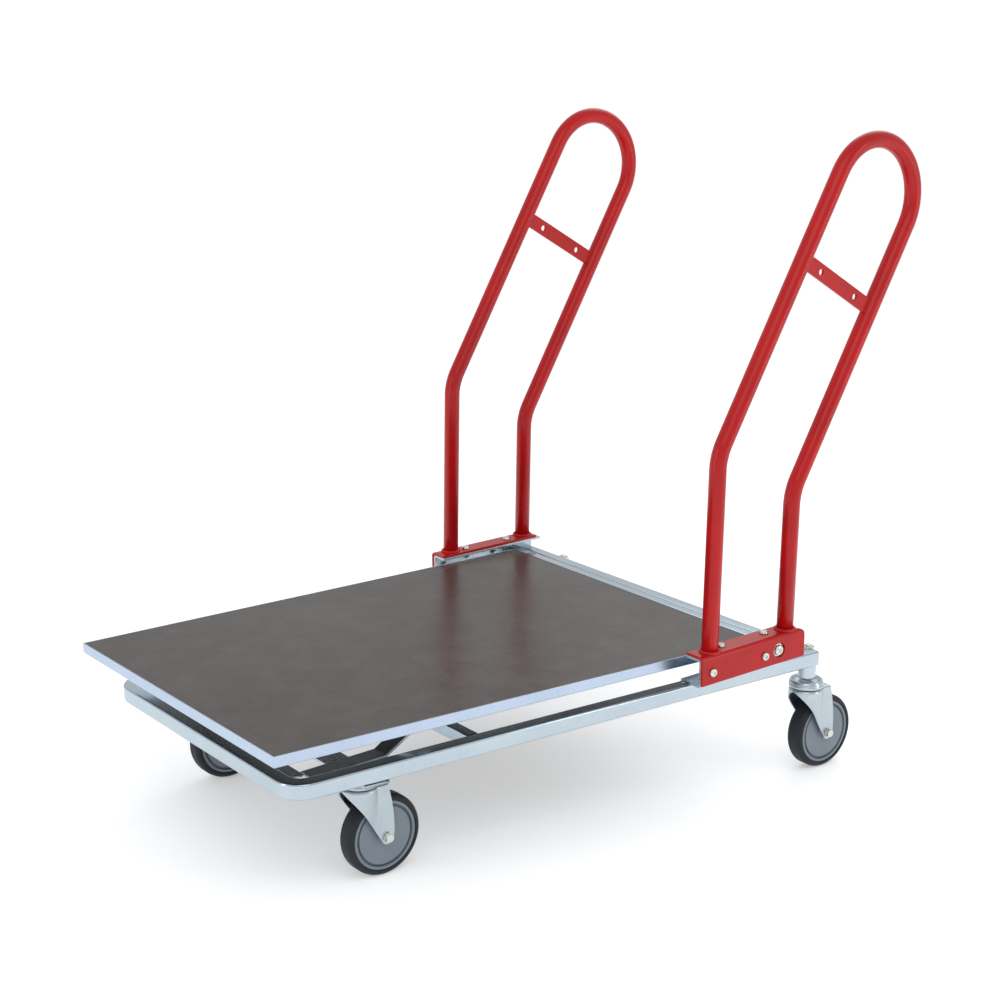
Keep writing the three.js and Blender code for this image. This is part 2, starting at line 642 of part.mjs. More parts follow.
// Crown with a ball race and two pressed legs that taper back to the axle.
function casterFork() {
  const legShape = new THREE.Shape();
  legShape.moveTo(-27, CROWN_TOP - 1);
  legShape.quadraticCurveTo(-16, 122, 2, 96);
  legShape.absarc(TRAIL, WHEEL_R, FORK_END_R, 1.12 * Math.PI, 2 * Math.PI);
  legShape.quadraticCurveTo(TRAIL + 13, 108, TRAIL + 2, CROWN_TOP - 1);
  const leg = (y0) => new THREE.ExtrudeGeometry(legShape, {
    depth: FORK_T, bevelEnabled: false, steps: 1, curveSegments: 3,
  }).rotateX(Math.PI / 2).translate(0, y0 + FORK_T, 0);
  const y = FORK_IN + FORK_T;
  const crown = new THREE.Shape();
  crown.absarc(0, 0, 28, 0.72 * Math.PI, 1.28 * Math.PI);
  crown.lineTo(0, -y);
  crown.lineTo(TRAIL - 2, -y);
  crown.lineTo(TRAIL - 2, y);
  crown.lineTo(0, y);
  const plate = new THREE.ExtrudeGeometry(crown, {
    depth: FORK_T, bevelEnabled: false, steps: 1, curveSegments: 4,
  }).translate(0, 0, CROWN_TOP - FORK_T);
  const race = barZ(0, 0, RACE_R, CROWN_TOP - FORK_T, CROWN_TOP, 16);
  const tools = [
    barZ(0, 0, KINGPIN_R + 0.5, CROWN_TOP - 20, CROWN_TOP + 20),
    barY(TRAIL, WHEEL_R, AXLE_HOLE_R, -40, 40),
  ];
  return cut(join(plate, race, leg(FORK_IN), leg(-y)), ...tools);
}

function axleBolt() {
  const out = FORK_IN + FORK_T + GAP;
  return hexBolt(AXLE_BOLT, 2 * out + AXLE_BOLT.thread, 2 * out)
    .rotateX(Math.PI / 2).translate(TRAIL, -out, WHEEL_R);
}

const CORE_R = 53;
const WHEEL_SIDES = 24;          // facets round the core and the tyre, so that they nest

// Plastic wheel body: a hub that stands out on both sides of a thick disc.
function wheelCore() {
  const side = [[AXLE_HOLE_R, 18], [12, 18], [14, 13], [CORE_R, 14]];
  const outline = [...side, ...side.map(([r, w]) => [r, -w]).reverse(), side[0]];
  return turned(outline.reverse(), WHEEL_SIDES).rotateX(Math.PI / 2).translate(TRAIL, 0, WHEEL_R);
}

function tyre() {
  const side = [[CORE_R + GAP, WHEEL_W / 2], [58, WHEEL_W / 2], [61, 11.5], [WHEEL_R, 5]];
  const outline = [...side, ...side.map(([r, w]) => [r, -w]).reverse(), side[0]];
  return turned(outline.reverse(), WHEEL_SIDES).rotateX(Math.PI / 2).translate(TRAIL, 0, WHEEL_R);
}

// ---------------------------------------------------------------- assembly

const cart = new THREE.Group();
cart.position.x = -LENGTH / 2;

function add(parent, name, geometry, material) {
  const mesh = new THREE.Mesh(geometry, material);
  mesh.name = name;
  parent.add(mesh);
}

function addBase() {
  add(cart, 'base_tube_frame', baseTubeFrame(), ZINC);
  add(cart, 'mid_cross_tube', midCrossTube(), ZINC);
  add(cart, 'front_caster_carrier', frontCarrier(), ZINC);
  add(cart, 'rest_cross_strip', restCrossStrip(), ZINC);
  add(cart, 'rear_cross_tube', rearCrossTube(), ZINC);
}

function addSide(name, side) {
  const put = (part, geometry, material) => add(cart, `${name}_${part}`, toSide(side, geometry), material);
  put('rest_strip', restStrip(), ZINC);
  put('bracket_channel', bracketChannel(), ZINC);
  put('handle_base_angle', handleBaseAngle(), RED_POWDER);
  put('handle_tube', handleTube(), RED_POWDER);
  put('handle_strap', handleStrap(), RED_POWDER);
  SIDE_BOLTS.forEach((place, i) => put(`side_bolt_${i + 1}`, sideBolt(place), ZINC_BOLT));
  TOP_BOLTS.forEach((place, i) => put(`top_bolt_${i + 1}`, topBolt(place), ZINC_BOLT));
  put('pivot_bolt', pivotBolt(), ZINC_BOLT);
  put('pivot_bush', pivotBush(), ZINC_BOLT);
  put('deck_edge_angle', deckSideAngle(), ZINC);
}

function addDeck() {
  add(cart, 'deck_board', deckBoard(), BOARD);
  add(cart, 'front_deck_edge_angle', deckEndAngle(false), ZINC);
  add(cart, 'rear_deck_edge_angle', deckEndAngle(true), ZINC);
  add(cart, 'deck_hinge_tube', deckHingeTube(), ZINC);
}

function addCaster(caster) {
  const unit = new THREE.Group();
  unit.position.set(caster.x, caster.y, 0);
  cart.add(unit);
  add(unit, `${caster.name}_swivel_cup`, swivelCup(), ZINC);
  add(unit, `${caster.name}_kingpin`, kingpin(caster), ZINC_BOLT);
  add(unit, `${caster.name}_fork`, casterFork(), ZINC);
  add(unit, `${caster.name}_axle_bolt`, toSide(-Math.sign(caster.y), axleBolt()), ZINC_BOLT);
  add(unit, `${caster.name}_wheel_core`, wheelCore(), CORE);
  add(unit, `${caster.name}_tyre`, tyre(), TYRE);
}

addBase();
addSide('left', -1);
addSide('right', 1);
addDeck();
CASTERS.forEach(addCaster);
CASTERS.filter((c) => !c.front)
  .forEach((c) => add(cart, `${c.name}_socket`, rearSocket(c), ZINC));

export default cart;
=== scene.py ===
"""Folding platform cart, as it looks new: zinc plated base, red powder coated side handles,
film faced deck and four swivel casters with grey wheels.

Shapes are worked out in millimetres as grids of points, and turned into metres when a mesh
is made. +X runs from the deck's free end to the handles, +Z is up, the floor is z = 0.
"""

import json
import math

import bmesh
import bpy
import numpy as np
from mathutils import Matrix, Vector


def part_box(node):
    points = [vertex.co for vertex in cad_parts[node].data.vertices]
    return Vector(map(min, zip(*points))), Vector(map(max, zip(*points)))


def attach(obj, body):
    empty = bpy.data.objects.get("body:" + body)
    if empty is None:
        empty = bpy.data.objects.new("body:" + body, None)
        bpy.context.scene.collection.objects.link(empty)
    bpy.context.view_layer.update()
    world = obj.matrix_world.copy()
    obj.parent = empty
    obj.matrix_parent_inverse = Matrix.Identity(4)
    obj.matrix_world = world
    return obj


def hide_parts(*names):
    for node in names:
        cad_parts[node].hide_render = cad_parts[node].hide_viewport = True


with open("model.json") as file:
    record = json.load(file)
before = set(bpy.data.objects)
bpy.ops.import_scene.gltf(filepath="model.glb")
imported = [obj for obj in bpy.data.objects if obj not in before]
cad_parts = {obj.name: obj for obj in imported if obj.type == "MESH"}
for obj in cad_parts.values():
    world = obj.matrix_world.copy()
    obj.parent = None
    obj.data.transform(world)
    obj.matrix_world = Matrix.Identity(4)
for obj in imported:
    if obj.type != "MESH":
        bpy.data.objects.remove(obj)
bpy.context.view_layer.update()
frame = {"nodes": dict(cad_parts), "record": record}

MM = 0.001
BODY_OF = {node: body for body, nodes in frame["record"]["behaviour"]["bodies"].items() for node in nodes}
SIDES = {"left": -1, "right": 1}
CASTERS = ("front_left", "front_right", "rear_left", "rear_right")

# -------- sizes that the frame's boxes don't give

TUBE = 25                    # every square tube of the base but the middle one
TUBE_CORNER = 3.5
BASE_BEND_R = 32
BASE_FRONT_HALF = 250.5      # half width of the base, tube centres
BASE_END_HALF = 329
BASE_DROP = 26.5             # how much lower the front tube is than the rails' rear ends

REST_T = 4
REST_FOLD = (125.6, 4.6)     # from the strip's front end: where its rear end turns up
REST_LEVEL = 202.6           # and where it levels out

LEG_PITCH = 166              # between a handle's upright legs
KNEE_FRONT_Z = 575
KNEE_REAR_Z = 496
KNEE_R = 85
HANDLE_R = 13.5
LEAN = math.radians(29.3)
STRAP_Z = 817
STRAP_H = 25
STRAP_T = 5
STRAP_HOLE_R = 5
STRAP_HOLE_PITCH = 91

ANGLE_T = 4.5
ANGLE_BEND_R = 7
ANGLE_CORNER_R = 11
CHANNEL_T = 4.2
CHANNEL_BEND_R = 6
BRACKET_ENDS = (-168.4, 57.6)  # a base angle's ends from the pivot, along the rail
ANGLE_TOP = 25.5             # its top and bottom from the pivot, across the rail
ANGLE_BOTTOM = -22
PACKING = (311, 319)         # |y| of the packing strip between channel and rail
PACKING_H = 5.2
BOLT_R = 4
BOLT_HEAD_H = 4.5
PIVOT_WINDOW_R = 12.5
PIVOT_R = 5

DECK_FRONT_HALF = 286
EDGE_T = 2
EDGE_LEG = 24

TRAIL = 37                   # axle behind the swivel axis
WHEEL_R = 62.5
CORE_R = 53
CROWN_TOP = 146
FORK_HALF = 21.5             # outer face of a fork leg from the wheel's middle
FORK_T = 2.5
KINGPIN_R = 6
KINGPIN_BORE = 6.5           # radius of the holes that the kingpin goes through
AXLE_R = 4


def span(node):
    """Lowest and highest corners of a node at rest, in millimetres."""
    low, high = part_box(node)
    return np.array(low) / MM, np.array(high) / MM


def centre_of(node):
    low, high = span(node)
    return (low + high) / 2


def reach_across(node):
    """Outer and inner |y| of a node on one side of the cart."""
    low, high = span(node)
    return max(abs(low[1]), abs(high[1])), min(abs(low[1]), abs(high[1]))


# -------- from grids of points to meshes

MERGE = 0.02 * MM
SHARP = math.radians(40)     # a bend sharper than this is an edge to be rounded


def grid_faces(rows, cols, around):
    """Quads between neighbours of a rows x cols grid; around joins the last column to the first."""
    r = np.arange(rows - 1)[:, None]
    c = np.arange(cols if around else cols - 1)[None, :]
    right = (c + 1) % cols
    corners = [r * cols + c, r * cols + right, (r + 1) * cols + right, (r + 1) * cols + c]
    return np.stack(corners, axis=-1).reshape(-1, 4).tolist()


def mesh_of(name, sheets, outward=None):
    """One mesh from sheets, each a grid of points with around and capped flags.

    Doubles are merged, so poles and seams close. A closed form gets its faces turned outwards; an
    open one is turned so that its mean normal agrees with outward.
    """
    points, faces, start = [], [], 0
    for grid, around, capped in sheets:
        rows, cols = grid.shape[:2]
        points.append(grid.reshape(-1, 3))
        faces += [[start + i for i in face] for face in grid_faces(rows, cols, around)]
        if capped:
            faces.append(list(range(start, start + cols)))
            faces.append(list(range(start + (rows - 1) * cols, start + rows * cols)))
        start += rows * cols
    mesh = bpy.data.meshes.new(name)
    mesh.from_pydata((np.concatenate(points) * MM).tolist(), [], faces)
    work = bmesh.new()
    work.from_mesh(mesh)
    bmesh.ops.remove_doubles(work, verts=work.verts, dist=MERGE)
    bmesh.ops.recalc_face_normals(work, faces=work.faces)
    if outward is not None:
        mean = sum((f.normal * f.calc_area() for f in work.faces), Vector())
        if mean.dot(Vector(outward)) < 0:
            bmesh.ops.reverse_faces(work, faces=work.faces)
    work.to_mesh(mesh)
    work.free()
    return mesh


def put(name, sheets, finish, nodes, body=None, wall=0, edge=0, edge_steps=3, outward=None):
    """A piece from sheets, with its wall's thickness, rounded edges, finish and body.

    nodes are the CAD nodes that it stands for; a weld bead stands for none and names its body.
    """
    piece = bpy.data.objects.new(name, mesh_of(name, sheets, outward))
    bpy.context.scene.collection.objects.link(piece)
    if wall:
        solid = piece.modifiers.new("wall", "SOLIDIFY")
        solid.thickness = wall * MM
        solid.offset = -1
        solid.use_even_offset = True
    if edge:
        bevel = piece.modifiers.new("edge", "BEVEL")
        bevel.width = edge * MM
        bevel.segments = edge_steps
        bevel.limit_method = "ANGLE"
        bevel.angle_limit = SHARP
    weigh = piece.modifiers.new("normals", "WEIGHTED_NORMAL")
    weigh.keep_sharp = True
    piece.data.shade_smooth()
    graph = bpy.context.evaluated_depsgraph_get()
    finished = bpy.data.meshes.new_from_object(piece.evaluated_get(graph))
    piece.modifiers.clear()
    piece.data = finished
    piece.data.name = name
    material, slot = FINISHES[finish]
    piece.data.materials.clear()
    piece.data.materials.append(material)
    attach(piece, body or BODY_OF[nodes[0]])
    if nodes:
        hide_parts(*nodes)
    return piece


# -------- curves and sections

def rounded_run(corners, radii, steps=8):
    """Points and unit directions along a flat polyline whose inner corners are arcs.

    An arc of radius R and turn t starts R tan(t / 2) before its corner, and after an angle a its
    point is the start + R sin a forwards + R (1 - cos a) to the side it turns to.
    """
    corners = np.asarray(corners, float)
    ways = np.diff(corners, axis=0)
    ways /= np.linalg.norm(ways, axis=1, keepdims=True)
    points, tangents = [corners[:1]], [ways[:1]]
    for corner, into, out, radius in zip(corners[1:-1], ways[:-1], ways[1:], radii):
        left = np.array([-into[1], into[0]])
        turn = math.atan2(left @ out, into @ out)
        side = math.copysign(1, turn)
        a = np.linspace(0, abs(turn), steps + 1)[:, None]
        start = corner - into * radius * math.tan(abs(turn) / 2)
        points.append(start + radius * (into * np.sin(a) + side * left * (1 - np.cos(a))))
        tangents.append(into * np.cos(a) + side * left * np.sin(a))
    points.append(corners[-1:])
    tangents.append(ways[-1:])
    return np.vstack(points), np.vstack(tangents)


def circle(radius, count=32):
    a = np.linspace(0, 2 * np.pi, count, endpoint=False)
    return radius * np.column_stack([np.cos(a), np.sin(a)])


def rounded_box(width, height, radius, steps=4):
    """Closed section: four quarter circles of the radius at the corners of a rectangle."""
    a = np.linspace(0, np.pi / 2, steps + 1)
    arc = radius * np.column_stack([np.cos(a), np.sin(a)]) + [width / 2 - radius, height / 2 - radius]
    back = arc[::-1]
    return np.vstack([arc, back * [-1, 1], arc * [-1, -1], back * [1, -1]])


def in_plane(flat, normal_axis, level=0.0):
    """Flat (u, v) values as 3-D: the two axes other than normal_axis, in order, then the level."""
    solid = np.zeros((len(flat), 3))
    others = [i for i in range(3) if i != normal_axis]
    solid[:, others] = flat
    solid[:, normal_axis] = level
    return solid


def carried(points, ways, section, side):
    """A closed section carried along a flat path: point + s1 (side x way) + s2 side."""
    side = np.asarray(side, float)
    across = np.cross(side, ways)
    return points[:, None] + section[None, :, :1] * across[:, None] + section[None, :, 1:] * side


def straight_bar(start, end, width, height, corner):
    """A level bar between two points, its section a rounded rectangle."""
    path = np.array([start, end], float)
    way = (path[1] - path[0]) / np.linalg.norm(path[1] - path[0])
    return carried(path, np.array([way, way]), rounded_box(width, height, corner), (0, 0, 1))


# -------- turned forms and fasteners

AXES = {
    "z": np.array([[1.0, 0, 0], [0, 1, 0], [0, 0, 1]]),
    "-z": np.array([[1.0, 0, 0], [0, -1, 0], [0, 0, -1]]),
    "y": np.array([[0.0, 0, 1], [1, 0, 0], [0, 1, 0]]),
    "-y": np.array([[1.0, 0, 0], [0, 0, 1], [0, -1, 0]]),
}
ROUND = 48


def turned(radius, height, centre, axis="z", count=ROUND):
    """Points at centre + r (cos a, sin a) across the axis + h along it, for rows of r and h.

    A row is one number, or one for every angle where the form isn't round.
    """
    a = np.linspace(0, 2 * np.pi, count, endpoint=False)
    r = np.stack([np.broadcast_to(row, count) for row in radius])
    h = np.stack([np.broadcast_to(row, count) for row in height])
    local = np.stack([r * np.cos(a), r * np.sin(a), h], axis=-1)
    return np.asarray(centre, float) + local @ AXES[axis]


def hexagon(across_flats, count=ROUND):
    """Radius of a hexagon at every angle: half the width over flats / cos of the angle off a flat."""
    a = np.linspace(0, 2 * np.pi, count, endpoint=False)
    off = (a + np.pi / 6) % (np.pi / 3) - np.pi / 6
    return across_flats / 2 / np.cos(off)


def hex_block(across_flats, height, centre, axis):
    """Bolt head or nut: hexagonal sides, and a 30 degree cone that turns its outer corners off."""
    six = hexagon(across_flats)
    face = 0.94 * across_flats / 2
    shoulder = height - (six - face) * math.tan(math.radians(30))
    rows_r = [0, six * 0.985, six, six, face, face * 0.97, 0]
    rows_h = [0, 0, 0.25, shoulder, height - 0.05, height, height]
    return turned(rows_r, rows_h, centre, axis)


def washer(radius, height, centre, axis):
    soft = 0.3
    return turned([0, radius - soft, radius, radius, radius - soft, 0],
                  [0, 0, soft, height - soft, height, height], centre, axis)


def rod(radius, low, high, centre, axis):
    """Shank with a chamfer of a quarter of its radius at its far end."""
    soft = radius / 4
    return turned([0, radius, radius, radius - soft, 0], [low, low, high - soft, high, high], centre, axis)


def button_head(radius, height, socket, centre, axis):
    """Domed head, a part of a sphere, with a hexagonal socket sunk into its middle."""
    six = hexagon(socket)
    rim = socket * 0.64
    t = np.linspace(0, 1, 7)
    dome_r = radius * np.cos(t * np.arccos(rim / radius))
    dome_h = 0.5 + (height - 0.5) * np.sin(t * np.pi / 2) ** 0.8
    rows_r = [0, radius - 0.2, radius, *dome_r, six, six * 0.97, 0]
    rows_h = [0, 0, 0.3, *dome_h, height - 0.25, height * 0.45, height * 0.3]
    return turned(rows_r, rows_h, centre, axis)


def round_sheets(*grids):
    return [(grid, True, False) for grid in grids]


def opposite(axis):
    return axis[1:] if axis.startswith("-") else "-" + axis


def outwards(side):
    """Name of the axis that points away from the cart on a side."""
    return "y" if side > 0 else "-y"


def steps_along(centre, axis):
    """The point at a distance h from the centre along an axis, as a function of h."""
    return lambda h: np.asarray(centre, float) + h * AXES[axis][2]


# -------- pressed sheet

CELL = 10                    # steps along each side of a cell
FOLD_STEPS = 8


def plain_cell(u0, u1, v_lines):
    u, v = np.meshgrid(np.linspace(u0, u1, CELL + 1), v_lines)
    return np.stack([u, v], axis=-1), False


def drilled_cell(u0, u1, v0, v1, hole):
    """A rectangle round a hole: (1 - s) of the circle + s of the rectangle's edge, for s in 0..1."""
    x, y, radius = hole
    along = np.arange(CELL) / CELL
    u = u0 + (u1 - u0) * np.concatenate([along, np.ones(CELL), 1 - along, np.zeros(CELL)])
    v = v0 + (v1 - v0) * np.concatenate([np.zeros(CELL), along, np.ones(CELL), 1 - along])
    angle = np.arctan2(v - y, u - x)
    s = np.linspace(0, 1, 4)[:, None]
    grid_u = (1 - s) * (x + radius * np.cos(angle)) + s * u
    grid_v = (1 - s) * (y + radius * np.sin(angle)) + s * v
    return np.stack([grid_u, grid_v], axis=-1), True


def blank_cells(u_lines, v_flats, v_folds, holes):
    """The flat blank as cells: every flat is split at u_lines, and a cell may hold one hole."""
    cells = []
    for u0, u1 in zip(u_lines[:-1], u_lines[1:]):
        for v0, v1 in v_flats:
            inside = [h for h in holes if u0 < h[0] < u1 and v0 < h[1] < v1]
            if inside:
                cells.append(drilled_cell(u0, u1, v0, v1, inside[0]))
            else:
                cells.append(plain_cell(u0, u1, np.linspace(v0, v1, CELL + 1)))
        cells += [plain_cell(u0, u1, lines) for lines in v_folds]
    return cells


def pressed(u_lines, corners, radii, holes, side, trim=None):
    """A folded sheet's outer face: its section is a polyline in (|y|, z) with rounded folds, and a
    blank's v is the length along it; u is x. trim moves x as a function of (x, |y|, z)."""
    section, _ = rounded_run(corners, radii, FOLD_STEPS)
    length = np.concatenate([[0], np.cumsum(np.linalg.norm(np.diff(section, axis=0), axis=1))])
    starts = [1 + k * (FOLD_STEPS + 1) for k in range(len(radii))]
    folds = [length[s:s + FOLD_STEPS + 1] for s in starts]
    edges = [0.0] + [v for fold in folds for v in (fold[0], fold[-1])] + [length[-1]]
    flats = list(zip(edges[::2], edges[1::2]))
    sheets = []
    for grid, around in blank_cells(u_lines, flats, folds, holes):
        x, v = grid[..., 0], grid[..., 1]
        y = np.interp(v, length, section[:, 0])
        z = np.interp(v, length, section[:, 1])
        if trim:
            x = trim(x, y, z)
        sheets.append((np.stack([x, side * y, z], axis=-1), around, False))
    return sheets


# -------- weld beads

def bead(path, width, ripple=4.5, closed=False, seed=0):
    """A weld bead along a path: a round section whose radius swells once for every ripple
    millimetres of length, r = w (1 + 0.13 cos) with a slow random drift, and tapers at free ends."""
    rng = np.random.default_rng(seed)
    path = np.asarray(path, float)
    if closed:
        path = np.vstack([path, path[:1]])
    steps = np.linalg.norm(np.diff(path, axis=0), axis=1)
    length = np.concatenate([[0], np.cumsum(steps)])
    count = max(int(length[-1] / 0.7), 8)
    s = np.linspace(0, length[-1], count, endpoint=not closed)
    points = np.column_stack([np.interp(s, length, path[:, i]) for i in range(3)])
    nearby = np.roll(points, -1, axis=0) - np.roll(points, 1, axis=0)
    if not closed:
        nearby[0], nearby[-1] = points[1] - points[0], points[-1] - points[-2]
    ways = nearby / np.linalg.norm(nearby, axis=1, keepdims=True)
    up = np.where(np.abs(ways[:, 2:]) > 0.9, [[1.0, 0, 0]], [[0.0, 0, 1]])
    across = np.cross(ways, up)
    across /= np.linalg.norm(across, axis=1, keepdims=True)
    up = np.cross(across, ways)
    turns = max(round(length[-1] / ripple), 1)
    drift = np.interp(s, np.linspace(0, length[-1], 9), rng.uniform(-0.12, 0.12, 9))
    if closed:
        drift = drift * np.sin(np.pi * s / length[-1])
    r = width * (1 + 0.13 * np.cos(2 * np.pi * turns * s / length[-1]) + drift)
    if not closed:
        r = r * np.clip(np.minimum(s, length[-1] - s) / (1.2 * width), 0.05, 1) ** 0.5
    ring = circle(1.0, 12)
    grid = points[:, None] + (r[:, None] * ring[:, 0])[..., None] * across[:, None]
    grid = grid + (r[:, None] * ring[:, 1])[..., None] * up[:, None]
    if closed:
        grid = np.concatenate([grid, grid[:1]])
    return grid, True, not closed


# -------- shader node groups

FLOAT, COLOUR, VECTOR = "NodeSocketFloat", "NodeSocketColor", "NodeSocketVector"


def new_group(name, inputs, outputs):
    """An empty shader group. inputs are (name, socket type, default) after a Vector that every group
    has, outputs are (name, socket type)."""
    group = bpy.data.node_groups.new(name, "ShaderNodeTree")
    for label, kind, default in [("Vector", VECTOR, (0, 0, 0)), *inputs]:
        socket = group.interface.new_socket(name=label, in_out="INPUT", socket_type=kind)
        socket.default_value = default
    for label, kind in outputs:
        group.interface.new_socket(name=label, in_out="OUTPUT", socket_type=kind)
    source = group.nodes.new("NodeGroupInput").outputs
    return group, source, group.nodes.new("NodeGroupOutput").inputs


def feed(tree, socket, value):
    """Gives a socket its value, or links it to another node's output."""
    if isinstance(value, bpy.types.NodeSocket):
        tree.links.new(value, socket)
    else:
        socket.default_value = value


def new_node(tree, kind, inputs):
    node = tree.nodes.new(kind)
    for label, value in inputs.items():
        feed(tree, node.inputs[label], value)
    return node


def noise(tree, vector, scale, detail=3.0, rough=0.55):
    inputs = {"Vector": vector, "Scale": scale, "Detail": detail, "Roughness": rough}
    return new_node(tree, "ShaderNodeTexNoise", inputs).outputs["Fac"]


def stretched(tree, vector, scale):
    """The vector with each of its axes scaled, to draw a pattern out along the small ones."""
    return new_node(tree, "ShaderNodeMapping", {"Vector": vector, "Scale": scale}).outputs["Vector"]


def remap(tree, value, low, high, to_low=0.0, to_high=1.0):
    inputs = {"Value": value, "From Min": low, "From Max": high, "To Min": to_low, "To Max": to_high}
    return new_node(tree, "ShaderNodeMapRange", inputs).outputs["Result"]


def mix_colour(tree, mask, first, second):
    node = tree.nodes.new("ShaderNodeMix")
    node.data_type = "RGBA"
    feed(tree, node.inputs["Factor"], mask)
    rgba = [s for s in node.inputs if s.type == "RGBA"]
    for socket, colour in zip(rgba, (first, second)):
        feed(tree, socket, (*colour, 1.0) if isinstance(colour, tuple) else colour)
    return [s for s in node.outputs if s.type == "RGBA"][0]


def two_tones(tree, pattern, low, high, first, second):
    """Two colours mixed by a pattern: only the first below low, only the second above high."""
    return mix_colour(tree, remap(tree, pattern, low, high), first, second)


def calculate(tree, operation, first, second):
    node = tree.nodes.new("ShaderNodeMath")
    node.operation = operation
    for socket, value in zip(node.inputs, (first, second)):
        feed(tree, socket, value)
    return node.outputs["Value"]


def plating_group():
    """Zinc plating: soft clouds between two tints, and the roughness that follows them."""
    group, given, result = new_group(
        "plating_clouds",
        [("Bright", COLOUR, (1, 1, 1, 1)), ("Dull", COLOUR, (1, 1, 1, 1)),
         ("Smooth", FLOAT, 0.2), ("Rough", FLOAT, 0.4)],
        [("Color", COLOUR), ("Roughness", FLOAT)],
    )
    broad = noise(group, given["Vector"], 9.0, 4.0)
    fine = noise(group, given["Vector"], 160.0, 3.0, 0.7)
    clouds = calculate(group, "ADD", calculate(group, "MULTIPLY", broad, 0.7),
                       calculate(group, "MULTIPLY", fine, 0.3))
    mask = remap(group, clouds, 0.36, 0.64)
    feed(group, result["Color"], mix_colour(group, mask, given["Bright"], given["Dull"]))
    feed(group, result["Roughness"], remap(group, mask, 0, 1, given["Smooth"], given["Rough"]))
    return group


def scratches_group():
    """Hairlines drawn out along the direction that the vector is squeezed in: a mask and a height."""
    group, given, result = new_group(
        "hairlines", [("Scale", FLOAT, 900.0), ("Threshold", FLOAT, 0.62)],
        [("Mask", FLOAT), ("Height", FLOAT)])
    lines = noise(group, given["Vector"], given["Scale"], 4.0, 0.6)
    over = calculate(group, "SUBTRACT", lines, given["Threshold"])
    feed(group, result["Mask"], remap(group, over, 0.0, 0.08))
    feed(group, result["Height"], lines)
    return group


def orange_peel_group():
    """The slow, shallow waves of a baked powder coat, as a height."""
    group, given, result = new_group("orange_peel", [("Scale", FLOAT, 420.0)], [("Height", FLOAT)])
    feed(group, result["Height"], noise(group, given["Vector"], given["Scale"], 1.5, 0.4))
    return group


def dust_group():
    """Dust on surfaces that face up: the normal's z, broken up by clouds, as a mask."""
    group, given, result = new_group("settled_dust", [("Amount", FLOAT, 0.2)], [("Mask", FLOAT)])
    facing = group.nodes.new("ShaderNodeNewGeometry").outputs["Normal"]
    upward = new_node(group, "ShaderNodeSeparateXYZ", {"Vector": facing}).outputs["Z"]
    clouds = remap(group, noise(group, given["Vector"], 22.0, 6.0, 0.6), 0.42, 0.7)
    broken = calculate(group, "MULTIPLY", remap(group, upward, 0.5, 1.0), clouds)
    feed(group, result["Mask"], calculate(group, "MULTIPLY", broken, given["Amount"]))
    return group


PLATING = plating_group()
HAIRLINES = scratches_group()
ORANGE_PEEL = orange_peel_group()
DUST = dust_group()


# -------- materials

class Finish:
    """A material under way: its tree, its shader, and the piece's own coordinates."""

    def __init__(self, name, **constants):
        self.material = bpy.data.materials.new(name)
        self.material.use_nodes = True
        self.tree = self.material.node_tree
        self.shader = self.tree.nodes["Principled BSDF"]
        self.place = self.tree.nodes.new("ShaderNodeTexCoord").outputs["Object"]
        for label, value in constants.items():
            self.shader.inputs[label.replace("_", " ")].default_value = value

    def use(self, group, **inputs):
        """Outputs of a group that gets these inputs, and the piece's coordinates as its Vector."""
        node = self.tree.nodes.new("ShaderNodeGroup")
        node.node_tree = group
        for label, value in {"Vector": self.place, **inputs}.items():
            feed(self.tree, node.inputs[label], value)
        return node.outputs

    def link(self, output, label):
        self.tree.links.new(output, self.shader.inputs[label])

    def bump(self, height, depth):
        """Adds a height pattern of depth metres to the normal."""
        inputs = {"Strength": 1.0, "Distance": depth, "Height": height}
        self.link(new_node(self.tree, "ShaderNodeBump", inputs).outputs["Normal"], "Normal")


def zinc(name, bright, dull, smooth, rough, lay=(1.0, 40.0, 40.0)):
    """Bright zinc on steel: cloudy tint and gloss, and drawing lines along the tube."""
    finish = Finish(name, Metallic=1.0)
    clouds = finish.use(PLATING, Bright=(*bright, 1), Dull=(*dull, 1), Smooth=smooth, Rough=rough)
    finish.link(clouds["Color"], "Base Color")
    drawn = stretched(finish.tree, finish.place, lay)
    lines = finish.use(HAIRLINES, Vector=drawn, Scale=60.0, Threshold=0.6)
    worn = calculate(finish.tree, "MULTIPLY", lines["Mask"], 0.04)
    finish.link(calculate(finish.tree, "ADD", clouds["Roughness"], worn), "Roughness")
    finish.bump(lines["Height"], 0.000008)
    return finish.material


def red_powder():
    """Gloss powder coat: deep red, a little uneven, with orange peel."""
    finish = Finish("red_powder_coat", IOR=1.5, Specular_IOR_Level=0.22, Coat_Weight=0.16,
                    Coat_Roughness=0.08)
    tree = finish.tree
    patches = noise(tree, finish.place, 14.0, 3.0)
    colour = two_tones(tree, patches, 0.35, 0.65, (0.46, 0.005, 0.006), (0.39, 0.004, 0.005))
    finish.link(colour, "Base Color")
    dust = finish.use(DUST, Amount=0.06)
    finish.link(remap(tree, dust["Mask"], 0, 1, 0.30, 0.6), "Roughness")
    finish.bump(finish.use(ORANGE_PEEL, Scale=420.0)["Height"], 0.00006)
    return finish.material


